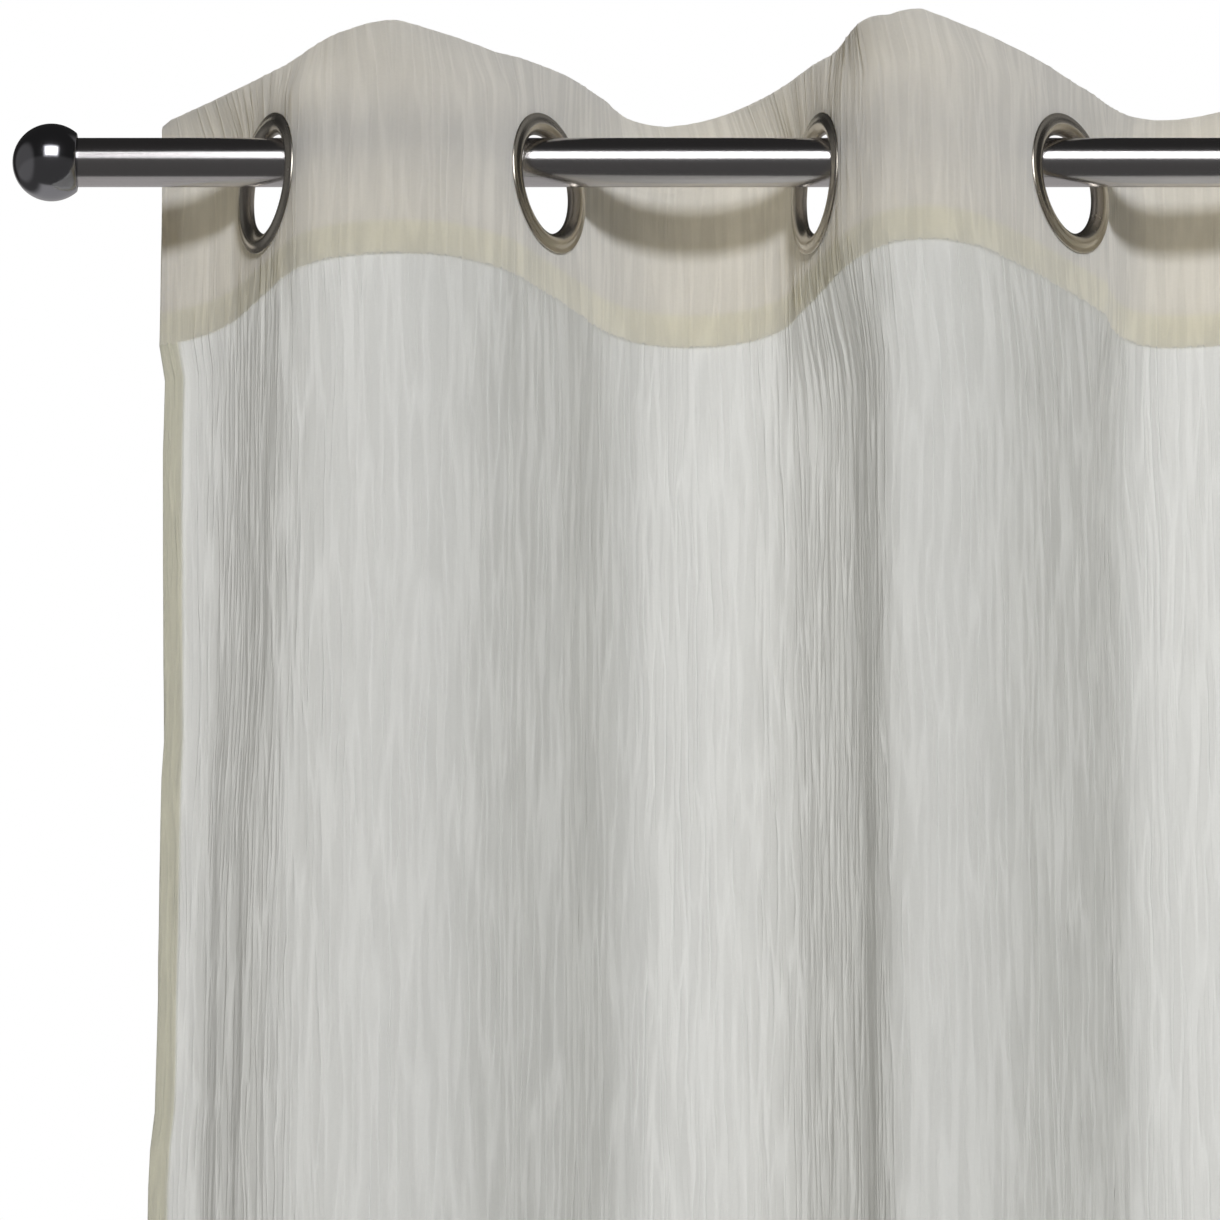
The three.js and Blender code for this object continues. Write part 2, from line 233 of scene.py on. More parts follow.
@dataclass
class ClothPlan:
    """The line that the cloth follows, seen from above, and how it changes down its height.

    A place on the flat cloth is a distance from its left edge, measured where the rings hold it. The
    same thread keeps its share of the way between two eyelets at every height. The handles are
    shares of a curve's straight distance: the usual one, and a brief and a broad one for the curve
    into a fold behind the rod. straight is the cloth that runs straight beside an eyelet's centre.
    """

    top: float = 40.6
    half_width: float = 423
    edge_forward: float = -57
    edge_angle: float = 20
    edge_arrive: float = 62
    low_edge_angle: float = 14
    handle: float = 0.38
    brief: float = 0.2
    broad: float = 0.58
    ring_top: float = 21
    ring_foot: float = -40
    body_top: float = -110
    drop: float = DROP
    steps: int = 120
    straight: tuple[tuple[Station, float], ...] = (
        (Station.EDGE, 8),
        (Station.RING, 29.5),
        (Station.BODY, 8),
        (Station.FOOT, 6),
    )

    def __post_init__(self) -> None:
        """Draws the plan at each station and measures the flat cloth between the eyelets."""
        self.spans = {station: self.spans_at(station) for station in Station}
        lengths = [self.length_of(span) for span in self.spans[Station.RING]]
        self.joins = np.concatenate([[0.0], np.cumsum(lengths)])

    @property
    def width(self) -> float:
        """The flat cloth's width."""
        return float(self.joins[-1])

    @property
    def eyelet_places(self) -> Array:
        """Each eyelet's place on the flat cloth."""
        return self.joins[1:-1]

    @staticmethod
    def length_of(line: Array) -> float:
        """The length of a line of points."""
        return float(np.linalg.norm(np.diff(line, axis=0), axis=1).sum())

    def crossing(self, wall: Wall, station: Station) -> Crossing:
        """Places one wall at one station.

        Args:
            wall: The wall.
            station: The station.

        Returns:
            Its crossing of the rod's line.
        """
        shifts = {Station.BODY: wall.body_shift, Station.FOOT: wall.foot_shift}
        angles = {Station.EDGE: wall.edge_angle, Station.RING: wall.ring_angle}
        angle = angles.get(station, wall.body_angle)
        centre = np.array([wall.across + shifts.get(station, 0), 0.0])
        half = direction(angle) * dict(self.straight)[station]
        return Crossing(centre, angle, centre - half, centre + half)

    def spans_at(self, station: Station) -> list[Array]:
        """Draws the plan at a station, cut at the walls' centres.

        Args:
            station: The station.

        Returns:
            A line of points from the left edge to the first wall, one between each two walls, and one
            from the last wall to the right edge.
        """
        at_edge = station is Station.EDGE
        at_rings = station is Station.RING
        edge_angle = self.edge_angle if at_rings else self.low_edge_angle
        left, right = (np.array([side * self.half_width, self.edge_forward]) for side in (-1, 1))
        walls = [self.crossing(wall, station) for wall in WALLS]
        first, last = walls[0], walls[-1]
        leave = first.angle if at_edge else edge_angle
        arrive = self.edge_arrive if at_rings else first.angle
        spans = [np.vstack([left, self.curve(left, first.start, leave, arrive), first.centre])]
        for fold, before, after in zip(FOLDS, walls, walls[1:]):
            spans.append(self.span_of(fold, before, after, station))
        leave = -self.edge_arrive if at_rings else last.angle
        arrive = last.angle if at_edge else -edge_angle
        spans.append(np.vstack([last.centre, last.end, self.curve(last.end, right, leave, arrive)]))
        return spans

    def span_of(self, fold: Fold, before: Crossing, after: Crossing, station: Station) -> Array:
        """Draws the plan of one fold.

        Args:
            fold: The fold.
            before: The wall on its left.
            after: The wall on its right.
            station: The station.

        Returns:
            Points from one wall's centre to the other's, one a row.
        """
        place = {Station.EDGE: fold.edge, Station.FOOT: fold.foot}.get(station, fold.body)
        crest = np.array([place.across, place.forward], float)
        at_rings = station is Station.RING
        leave = fold.leave if at_rings else before.angle
        arrive = fold.arrive if at_rings else after.angle
        peak = fold.peak if station is Station.EDGE else self.handle
        broad = station in (Station.BODY, Station.FOOT) and place.forward < 0
        handles = (self.brief, self.broad) if broad else ()
        into = self.curve(before.end, crest, leave, 0, *handles)
        out = self.curve(crest, after.start, 0, arrive, peak)
        return np.vstack([before.centre, before.end, into, out, after.centre])

    def curve(
        self,
        start: Array,
        end: Array,
        leave: float,
        arrive: float,
        start_handle: float | None = None,
        end_handle: float | None = None,
    ) -> Array:
        """Draws a curve in the plan that leaves and arrives at given angles.

        Args:
            start: The first point, as (across, forward).
            end: The last point.
            leave: The curve's angle at the start, in degrees.
            arrive: The curve's angle at the end, in degrees.
            start_handle: The first handle's share of the straight distance, if it isn't the usual one.
            end_handle: The last handle's share, if it isn't the usual one.

        Returns:
            The points after the first, one a row.
        """
        span = float(np.linalg.norm(end - start))
        first = start + direction(leave) * span * (start_handle or self.handle)
        last = end - direction(arrive) * span * (end_handle or self.handle)
        t = np.linspace(0, 1, self.steps + 1)[1:, None]
        rest = 1 - t
        return rest**3 * start + 3 * rest**2 * t * first + 3 * rest * t**2 * last + t**3 * end

    def line_at(self, station: Station, flat: Array) -> Array:
        """Where each thread runs at a station.

        Args:
            station: The station.
            flat: The threads' places on the flat cloth.

        Returns:
            Their points (across, forward), one a row.
        """
        points = np.zeros((len(flat), 2))
        span_of = np.clip(np.searchsorted(self.joins, flat, side="right") - 1, 0, len(WALLS))
        for index, span in enumerate(self.spans[station]):
            mine = span_of == index
            gaps = np.linalg.norm(np.diff(span, axis=0), axis=1)
            along = np.concatenate([[0.0], np.cumsum(gaps)])
            share = (flat[mine] - self.joins[index]) / (self.joins[index + 1] - self.joins[index])
            for axis in range(2):
                points[mine, axis] = np.interp(share * along[-1], along, span[:, axis])
        return points

    def weights_at(self, z: float) -> dict[Station, float]:
        """How much each station's plan counts at a height.

        Args:
            z: The height above the rod's axis.

        Returns:
            The weights of one or two stations, which add up to 1.
        """
        if z >= self.ring_top:
            share = (self.top - z) / (self.top - self.ring_top)
            return {Station.EDGE: 1 - share, Station.RING: share}
        if z >= self.ring_foot:
            return {Station.RING: 1.0}
        if z >= self.body_top:
            share = float(smoothstep(-z, -self.ring_foot, -self.body_top))
            return {Station.RING: 1 - share, Station.BODY: share}
        share = float(smoothstep(-z, -self.body_top, self.drop - self.top))
        return {Station.BODY: 1 - share, Station.FOOT: share}


# ---------------------------------------------------------------- relief of the cloth


@dataclass
class SmoothNoise:
    """Seeded noise over the flat cloth, from -1 to 1, in cells of a given size."""

    seed: int
    cell_across: float
    cell_down: float
    columns: int = 1024
    rows: int = 64

    def __post_init__(self) -> None:
        """Draws the lattice."""
        self.lattice = np.random.default_rng(self.seed).uniform(-1, 1, (self.rows, self.columns))

    def ridges(self, flat: Array, depth: Array, width: float) -> Array:
        """1 along the lines where the noise crosses 0, falling to 0 where it passes width."""
        return 1 - smoothstep(np.abs(self.at(flat, depth)), 0, width)

    def at(self, flat: Array, depth: Array) -> Array:
        """The noise at places on the flat cloth.

        Args:
            flat: The places' distances from the left edge.
            depth: Their depths.

        Returns:
            The noise at each, from -1 to 1.
        """
        x = flat / self.cell_across
        y = depth / self.cell_down
        column = np.floor(x).astype(int)
        row = np.floor(y).astype(int)
        right = smoothstep(x - column, 0, 1)
        down = smoothstep(y - row, 0, 1)
        upper = self.knot(row, column) * (1 - right) + self.knot(row, column + 1) * right
        lower = self.knot(row + 1, column) * (1 - right) + self.knot(row + 1, column + 1) * right
        return upper * (1 - down) + lower * down

    def knot(self, row: Array, column: Array) -> Array:
        """The lattice's values at rows and columns, which repeat past its end."""
        return self.lattice[row % self.rows, column % self.columns]


@dataclass
class Relief:
    """How the surface of the cloth stands in front of its plan: crinkles, slow waves and creases.

    The crinkle is a fine and a broad set of ridges, whose strength changes in patches. The spans named
    loosening and wave_start are measured down from the heading's foot.
    """

    eyelets: Array
    eyelet_depth: float
    heading_depth: float
    flat_radius: float = 30
    free_radius: float = 37
    crinkle_height: float = 0.5
    heading_share: float = 0.5
    wave_height: float = 1.1
    wander: float = 2.6
    strength: float = 0.8
    strength_spread: float = 0.35
    fine_share: float = 1.35
    fine_width: float = 0.55
    broad_share: float = 0.6
    broad_width: float = 0.5
    groove_level: float = 0.8
    loosening: Pair = (-4, 12)
    wave_start: Pair = (10, 120)
    crease_taper: float = 0.6
    crinkle_fine: SmoothNoise = field(default_factory=lambda: SmoothNoise(11, 4.2, 38))
    crinkle_broad: SmoothNoise = field(default_factory=lambda: SmoothNoise(12, 7.5, 75))
    wander_noise: SmoothNoise = field(default_factory=lambda: SmoothNoise(13, 17, 46))
    patches: SmoothNoise = field(default_factory=lambda: SmoothNoise(14, 34, 170))
    waves: SmoothNoise = field(default_factory=lambda: SmoothNoise(15, 15, 420))

    def crinkle(self, flat: Array, depth: Array) -> Array:
        """The crinkle of the cloth.

        Args:
            flat: Places on the flat cloth.
            depth: Their depths.

        Returns:
            From about -1 in a groove to 1 on a ridge.
        """
        moved = flat + self.wander * self.wander_noise.at(flat, depth)
        strength = self.strength + self.strength_spread * self.patches.at(flat, depth)
        fine = self.fine_share * self.crinkle_fine.ridges(moved, depth, self.fine_width)
        broad = self.broad_share * self.crinkle_broad.ridges(moved, depth, self.broad_width)
        return np.clip(strength * (fine + broad - self.groove_level), -1, 1)

    def freedom(self, flat: Array, depth: Array) -> Array:
        """How free the cloth is of the rings.

        Args:
            flat: Places on the flat cloth.
            depth: Their depths.

        Returns:
            0 where a ring holds the cloth flat, and 1 away from the rings.
        """
        free = np.ones(np.broadcast(flat, depth).shape)
        for place in self.eyelets:
            radius = np.hypot(flat - place, depth - self.eyelet_depth)
            free = np.minimum(free, smoothstep(radius, self.flat_radius, self.free_radius))
        return free

    def creases(self, flat: Array, depth: Array) -> Array:
        """The heights of the creases.

        Args:
            flat: Places on the flat cloth.
            depth: Their depths.

        Returns:
            The sum of the creases' heights at each place.
        """
        total = np.zeros(np.broadcast(flat, depth).shape)
        for crease in CREASES:
            start, end = np.array(crease.start), np.array(crease.end)
            run = end - start
            share = ((flat - start[0]) * run[0] + (depth - start[1]) * run[1]) / float(run @ run)
            held = np.clip(share, 0, 1)
            away = np.hypot(flat - start[0] - held * run[0], depth - start[1] - held * run[1])
            ends = np.sin(np.pi * held) ** self.crease_taper
            total += crease.height * ends * np.exp(-((away / crease.width) ** 2))
        return total

    def height(self, flat: Array, depth: Array) -> Array:
        """How far the surface stands in front of the cloth's plan.

        Args:
            flat: Places on the flat cloth.
            depth: Their depths.

        Returns:
            The heights in millimetres.
        """
        below = smoothstep(depth, *(self.heading_depth + step for step in self.loosening))
        share = self.heading_share + (1 - self.heading_share) * below
        loose = smoothstep(depth, *(self.heading_depth + step for step in self.wave_start))
        relief = self.crinkle_height * share * self.crinkle(flat, depth)
        relief = relief + loose * self.wave_height * self.waves.at(flat, depth)
        relief = relief + self.creases(flat, depth)
        return relief * self.freedom(flat, depth)


# ---------------------------------------------------------------- nodes and finishes


class Blend(Enum):
    """What a mix node mixes: its kind, its settings, its inputs and its output."""

    COLOURS = ("Mix", {"data_type": "RGBA"}, (0, 6, 7), 2)
    NUMBERS = ("Mix", {"data_type": "FLOAT"}, (0, 2, 3), 0)
    SHADERS = ("MixShader", {}, (0, 1, 2), 0)


class Tree:
    """A node tree with short ways to add to it."""

    def __init__(self, tree: bpy.types.NodeTree) -> None:
        """Empties a node tree, to be filled."""
        self.tree = tree
        tree.nodes.clear()

    def node(self, kind: str, settings: dict | None = None, **inputs: object) -> bpy.types.Node:
        """Adds a node.

        Args:
            kind: The node's type, without its ShaderNode prefix.
            settings: Properties of the node to set.
            **inputs: Its inputs by name, with _ for a space, as feed takes them.

        Returns:
            The node.
        """
        made = self.tree.nodes.new(f"ShaderNode{kind}")
        for name, value in (settings or {}).items():
            setattr(made, name, value)
        for name, value in inputs.items():
            self.feed(made.inputs[name.replace("_", " ")], value)
        return made

    def feed(self, socket: Socket, value: object) -> None:
        """Links something into an input, or sets the input's own value.

        Args:
            socket: The input.
            value: A socket to link, a node whose first output is linked, or a value.
        """
        if isinstance(value, bpy.types.Node):
            value = value.outputs[0]
        if isinstance(value, Socket):
            self.tree.links.new(value, socket)
        else:
            socket.default_value = value

    def math(self, operation: str, *values: object, clamp: bool = False) -> Socket:
        """Adds a Math node.

        Args:
            operation: What it works out.
            *values: Its inputs, as feed takes them.
            clamp: Whether its result is kept from 0 to 1.

        Returns:
            Its result.
        """
        made = self.node("Math", {"operation": operation, "use_clamp": clamp})
        for socket, value in zip(made.inputs, values):
            self.feed(socket, value)
        return made.outputs[0]

    def step(self, value: Socket, low: float, high: float) -> Socket:
        """Adds a soft step.

        Args:
            value: The value to step.
            low: Where the step leaves 0.
            high: Where it reaches 1.

        Returns:
            Its result.
        """
        made = self.node("MapRange", {"interpolation_type": "SMOOTHSTEP"})
        for name, content in (("Value", value), ("From Min", low), ("From Max", high)):
            self.feed(made.inputs[name], content)
        return made.outputs[0]

    def except_in(self, value: Socket, low: float, high: float) -> Socket:
        """1 less the soft step of a value."""
        return self.math("SUBTRACT", 1.0, self.step(value, low, high))

    def mix(self, blend: Blend, *values: object) -> Socket:
        """Adds a mix of two colours, two numbers or two shaders.

        Args:
            blend: What it mixes.
            *values: The second one's share, then the first one and the second.

        Returns:
            Its result.
        """
        kind, settings, inputs, output = blend.value
        made = self.node(kind, settings)
        for index, value in zip(inputs, values):
            self.feed(made.inputs[index], value)
        return made.outputs[output]

    def point(self, x: object, y: object, z: object = 0.0) -> Socket:
        """A point from three numbers."""
        return self.node("CombineXYZ", X=x, Y=y, Z=z).outputs[0]

    def noise(self, vector: object, scale: float, detail: float = 2.0) -> Socket:
        """Noise from 0 to 1 in 3 dimensions."""
        return self.node("TexNoise", Vector=vector, Scale=scale, Detail=detail).outputs[0]


def rgb(red: float, green: float, blue: float) -> Colour:
    """A linear colour with full alpha."""
    return (red, green, blue, 1.0)


def new_material(name: str) -> tuple[Material, Tree]:
    """Makes a material.

    Args:
        name: Its name.

    Returns:
        The material and its empty tree.
    """
    material = bpy.data.materials.new(name)
    material.use_nodes = True
    return material, Tree(material.node_tree)


@dataclass(frozen=True)
class Zone:
    """The linear colours of one zone of the cloth: by light thrown back, and by light let through."""

    face: Colour
    through: Colour


@dataclass(frozen=True)
class VoileFinish:
    """Crinkled voile, with zones for the stiffened heading, its turned foot and the hems.

    Widths and depths are in millimetres. A grain is how many cells of noise a metre of cloth has
    across and down. A closed share is the part of the cloth that isn't open between its threads. Where
    the cloth is turned from the curtain's face the closed share grows, partly as its threads stand
    closer behind one another and partly as painted shade that darkens the turned walls against the
    white backdrop. The crinkle's tone is painted shade in its grooves and a painted highlight on its
    ridges; it has an even strength, and one that grows with the cloth's turn and stands for light
    grazing the turned cloth.
    """

    name: str = "crinkled_voile"
    body: Zone = Zone(rgb(0.765, 0.77, 0.74), rgb(0.785, 0.78, 0.74))
    hem: Zone = Zone(rgb(0.80, 0.79, 0.71), rgb(0.80, 0.78, 0.65))
    heading: Zone = Zone(rgb(0.865, 0.87, 0.88), rgb(0.91, 0.85, 0.71))
    strip: Zone = Zone(rgb(0.885, 0.88, 0.83), rgb(0.91, 0.87, 0.73))
    through_share: float = 0.5
    body_closed: float = 0.80
    hem_closed: float = 0.95
    heading_closed: float = 1.0
    groove_closed: float = 0.13
    # More closed where the cloth is turned: partly denser threads, partly painted shade on the turned
    # walls.
    turned_closed_and_painted_shade: float = 0.32
    # Painted shade in the crinkle's grooves and painted highlight on its ridges.
    crinkle_painted_shade: float = 0.17
    blotch_shade: float = 0.02
    thread_shade: float = 0.05
    # The strength of the painted groove shade and of the grooves' closed share: even, and growing with
    # the cloth's turn as painted shade for grazing light.
    even_strength: float = 0.62
    painted_shade_by_turn: float = 0.75
    broad_share: float = 0.12
    line_share: float = 0.72
    coarse_share: float = 0.72
    coarse_grain: Pair = (280, 15)
    coarse_width: float = 0.15
    fine_grain: Pair = (520, 28)
    fine_width: float = 0.14
    drift_grain: Pair = (70, 17)
    drift_reach: float = 5
    thread_grain: Pair = (900, 1500)
    blotches_per_metre: float = 26
    line_height: float = 0.48
    thread_relief: float = 0.05
    heading_relief: float = 0.5
    roughness: float = 0.86
    specular: float = 0.18
    sheen: float = 0.5
    sheen_roughness: float = 0.6
    side_hem: float = 9
    foot_hem: float = 40
    heading_depth: float = 98
    strip_depth: float = 84
    drop: float = DROP
    edge_blur: float = 0.6
    edge_waver: float = 0.4
    strip_blur: float = 1.5
    hem_blur: Pair = (0.7, 0.5)

    def make(self, width: float) -> Material:
        """Makes the material.

        Args:
            width: The flat cloth's width in millimetres.

        Returns:
            The material, which reads the cloth's UV map and its attributes crinkle and turned.
        """
        material, tree = new_material(self.name)
        parts = tree.node("SeparateXYZ", Vector=tree.node("UVMap", {"uv_map": CLOTH_MAP}))
        across, depth = parts.outputs[0], parts.outputs[1]
        groove = tree.node("Attribute", {"attribute_name": "crinkle"}).outputs["Fac"]
        turned = tree.node("Attribute", {"attribute_name": "turned"}).outputs["Fac"]
        lines = self.lines(tree, across, depth)
        threads = tree.noise(self.stretched(tree, across, depth, self.thread_grain), 1.0, 1.0)
        blotches = tree.noise(tree.point(across, depth), self.blotches_per_metre)
        masks = self.masks(tree, across, depth, lines, width)

        base = (1 - self.line_share) / 2
        ridge = tree.math("MULTIPLY_ADD", lines, self.line_share, base)
        ridge = tree.math("MULTIPLY_ADD", groove, self.broad_share, ridge)
        low = tree.math("SUBTRACT", 1.0, ridge, clamp=True)
        # The crinkle's painted shade in its grooves and painted highlight on its ridges, stronger
        # where the cloth is turned, as grazing light would show them; the blotches and threads add the
        # cloth's own tone.
        strength = tree.math("MULTIPLY_ADD", turned, self.painted_shade_by_turn, self.even_strength)
        shade = tree.math("MULTIPLY", tree.math("SUBTRACT", 0.5, low), self.crinkle_painted_shade)
        shade = tree.math("MULTIPLY_ADD", shade, strength, 1.0)
        for pattern, reach in ((blotches, self.blotch_shade), (threads, self.thread_shade)):
            shade = tree.math("MULTIPLY_ADD", pattern, reach, tree.math("SUBTRACT", shade, reach / 2))
        closed = self.closed(tree, low, strength, turned, masks)
        relief = tree.math("MULTIPLY_ADD", threads, self.thread_relief, lines)
        free = tree.math("MULTIPLY_ADD", masks[1], self.heading_relief - 1, 1.0)
        relief = tree.math("MULTIPLY", relief, free)
        woven = self.woven(tree, masks, shade, relief)
        cloth = tree.mix(Blend.SHADERS, closed, tree.node("BsdfTransparent"), woven)
        tree.node("OutputMaterial", Surface=cloth)
        return material

    def closed(
        self, tree: Tree, low: Socket, strength: Socket, turned: Socket, masks: tuple[Socket, ...]
    ) -> Socket:
        """Works out how closed the weave looks.

        Args:
            tree: The material's tree.
            low: 1 in the crinkle's grooves.
            strength: How strongly the crinkle shows; it grows where the cloth is turned, as painted
            shade for light grazing it.
            turned: How far the cloth is turned from the curtain's face.
            masks: The zones' masks.

        Returns:
            The part of the cloth that isn't open between its threads.
        """
        # Grooves are more closed where threads bunch; the strength that scales this grows with the
        # cloth's turn, as painted shade for grazing light.
        gathered = tree.math("MULTIPLY", tree.math("SUBTRACT", low, 0.5), self.groove_closed)
        closed = tree.math("MULTIPLY_ADD", gathered, strength, self.body_closed)
        # Turned cloth is more closed: partly its threads stand closer behind one another, partly this
        # is painted shade that darkens the turned walls against the white backdrop.
        closed = tree.math("MULTIPLY_ADD", turned, self.turned_closed_and_painted_shade, closed, clamp=True)
        for mask, value in zip(masks, (self.hem_closed, self.heading_closed)):
            closed = tree.mix(Blend.NUMBERS, mask, closed, value)
        return closed

    def woven(
        self, tree: Tree, masks: tuple[Socket, ...], shade: Socket, relief: Socket
    ) -> Socket:
        """Makes the threads' own surface, which throws light back and lets it through.

        Args:
            tree: The material's tree.
            masks: The zones' masks.
            shade: The brightness, about 1: painted shade in the crinkle's grooves and a painted
            highlight on its ridges, with the blotches' and the threads' own tone.
            relief: The pattern's height, from 0 to 1.

        Returns:
            The surface.
        """
        zones = (self.body, self.hem, self.heading, self.strip)
        colour = self.shaded(tree, self.layered(tree, masks, [zone.face for zone in zones]), shade)
        through = self.shaded(tree, self.layered(tree, masks, [zone.through for zone in zones]), shade)
        height = self.line_height * MM
        bump = tree.node("Bump", Strength=1.0, Distance=height, Height=relief)
        face = tree.node("BsdfPrincipled", Base_Color=colour, Roughness=self.roughness, Normal=bump)
        face.inputs["Specular IOR Level"].default_value = self.specular
        face.inputs["Diffuse Roughness"].default_value = 1.0
        face.inputs["Sheen Weight"].default_value = self.sheen
        face.inputs["Sheen Roughness"].default_value = self.sheen_roughness
        lit_through = tree.node("BsdfTranslucent", Color=through, Normal=bump)
        return tree.mix(Blend.SHADERS, self.through_share, face, lit_through)

    def lines(
        self, tree: Tree, across: Socket, depth: Socket
    ) -> Socket:
        """Draws the crinkle's thin lines, which wander a little as they run down.

        Args:
            tree: The material's tree.
            across: The distance across the flat cloth, in metres.
            depth: The distance down it.

        Returns:
            1 along the lines, falling to 0 between them.
        """
        drift = tree.noise(self.stretched(tree, across, depth, self.drift_grain), 1.0)
        moved = tree.math("MULTIPLY_ADD", drift, self.drift_reach * MM, across)
        coarse_place = self.stretched(tree, moved, depth, self.coarse_grain)
        coarse = self.ridges(tree, coarse_place, self.coarse_width)
        fine = self.ridges(tree, self.stretched(tree, moved, depth, self.fine_grain), self.fine_width)
        fine = tree.math("MULTIPLY", fine, 1 - self.coarse_share)
        return tree.math("MULTIPLY_ADD", coarse, self.coarse_share, fine)

    def masks(
        self,
        tree: Tree,
        across: Socket,
        depth: Socket,
        lines: Socket,
        width: float,
    ) -> tuple[Socket, ...]:
        """Marks the zones of the cloth.

        Args:
            tree: The material's tree.
            across: The distance across the flat cloth, in metres.
            depth: The distance down it.
            lines: The crinkle's lines, which make the heading's foot waver.
            width: The flat cloth's width in millimetres.

        Returns:
            Sockets that are 1 in the hems, in the heading and in the heading's turned foot.
        """
        waver = tree.math("MULTIPLY_ADD", lines, 2 * self.edge_waver * MM, -self.edge_waver * MM)
        foot = self.soft_edge(self.heading_depth, self.edge_blur, self.edge_blur)
        in_heading = tree.except_in(tree.math("ADD", depth, waver), *foot)
        strip_top = self.soft_edge(self.strip_depth, self.strip_blur, self.strip_blur)
        in_strip = tree.math("MULTIPLY", tree.step(depth, *strip_top), in_heading)
        outer, inner = self.hem_blur
        hem_left = tree.except_in(across, *self.soft_edge(self.side_hem, outer, inner))
        hem_right = tree.step(across, *self.soft_edge(width - self.side_hem, inner, outer))
        hem_top = self.soft_edge(self.drop - self.foot_hem, self.edge_blur, self.edge_blur)
        hem_side = tree.math("MAXIMUM", hem_left, hem_right)
        in_hem = tree.math("MAXIMUM", hem_side, tree.step(depth, *hem_top))
        return in_hem, in_heading, in_strip

    @staticmethod
    def soft_edge(place: float, before: float, after: float) -> Pair:
        """Where a soft edge starts and ends round a place, in metres."""
        return (place - before) * MM, (place + after) * MM

    @staticmethod
    def stretched(tree: Tree, across: object, depth: object, grain: Pair) -> Socket:
        """A point for noise that runs in long lines down the cloth, off the lattice of the noise."""
        scaled = [tree.math("MULTIPLY", value, cells) for value, cells in zip((across, depth), grain)]
        return tree.point(*scaled, 0.5)

    @staticmethod
    def ridges(tree: Tree, place: Socket, width: float) -> Socket:
        """1 along thin lines, where noise crosses its middle, and 0 between them."""
        away = tree.math("ABSOLUTE", tree.math("SUBTRACT", tree.noise(place, 1.0, 0.0), 0.5))
        return tree.except_in(away, 0.0, width)

    @staticmethod
    def layered(tree: Tree, masks: tuple, colours: list) -> Socket:
        """Covers a colour with others.

        Args:
            tree: The material's tree.
            masks: Where each next colour lies.
            colours: The first colour and the next ones.

        Returns:
            The colour of the topmost layer at each place.
        """
        result = colours[0]
        for mask, colour in zip(masks, colours[1:]):
            result = tree.mix(Blend.COLOURS, mask, result, colour)
        return result

    @staticmethod
    def shaded(tree: Tree, colour: Socket, shade: Socket) -> Socket:
        """A colour times a shade."""
        return tree.node("VectorMath", {"operation": "SCALE"}, Vector=colour, Scale=shade).outputs[0]


@dataclass(frozen=True)
class MetalFinish:
    """Polished or brushed metal, with streaks along X where it is brushed.

    The colour is linear. The streaks and smudges are counted by the metre, and the bump is in metres.
    """

    name: str
    colour: Colour
    roughness: float
    roughness_spread: float
    tint_spread: float
    streak_along: float
    streak_across: float
    bump: float
    streak_detail: float = 3.0
    smudges_per_metre: float = 55.0

    def make(self) -> Material:
        """Makes the material.

        Returns:
            The material, which reads Object coordinates.
        """
        material, tree = new_material(self.name)
        place = tree.node("TexCoord").outputs["Object"]
        scaled = tree.node("Mapping", {"vector_type": "POINT"}, Vector=place)
        stretch = (self.streak_along, self.streak_across, self.streak_across)
        scaled.inputs["Scale"].default_value = stretch
        streaks = tree.noise(scaled, 1.0, self.streak_detail)
        smudges = tree.noise(place, self.smudges_per_metre)
        smoothest = self.roughness - self.roughness_spread / 2
        rough = tree.math("MULTIPLY_ADD", streaks, self.roughness_spread, smoothest)
        rough = tree.math("MULTIPLY_ADD", smudges, self.roughness_spread, rough)
        darker = rgb(*(part * (1 - self.tint_spread) for part in self.colour[:3]))
        colour = tree.mix(Blend.COLOURS, streaks, darker, self.colour)
        bump = tree.node("Bump", Strength=1.0, Distance=self.bump, Height=streaks)
        metal = tree.node("BsdfPrincipled", Base_Color=colour, Roughness=rough, Normal=bump)
        metal.inputs["Metallic"].default_value = 1.0
        tree.node("OutputMaterial", Surface=metal)
        return material


BRUSHED_STEEL = MetalFinish(
    "brushed_steel",
    colour=rgb(0.62, 0.60, 0.61),
    roughness=0.15,
    roughness_spread=0.03,
    tint_spread=0.12,
    streak_along=12,
    streak_across=2600,
    bump=0.0000012,
)
SATIN_NICKEL = MetalFinish(
    "satin_nickel",
    colour=rgb(0.56, 0.525, 0.465),
    roughness=0.24,
    roughness_spread=0.04,
    tint_spread=0.10,
    streak_along=900,
    streak_across=900,
    bump=0.000003,
)
DARK_CHROME = MetalFinish(
    "dark_chrome",
    colour=rgb(0.36, 0.36, 0.39),
    roughness=0.13,
    roughness_spread=0.01,
    tint_spread=0.03,
    streak_along=120,
    streak_across=120,
    bump=0.0,
)


# ---------------------------------------------------------------- modelling by hand


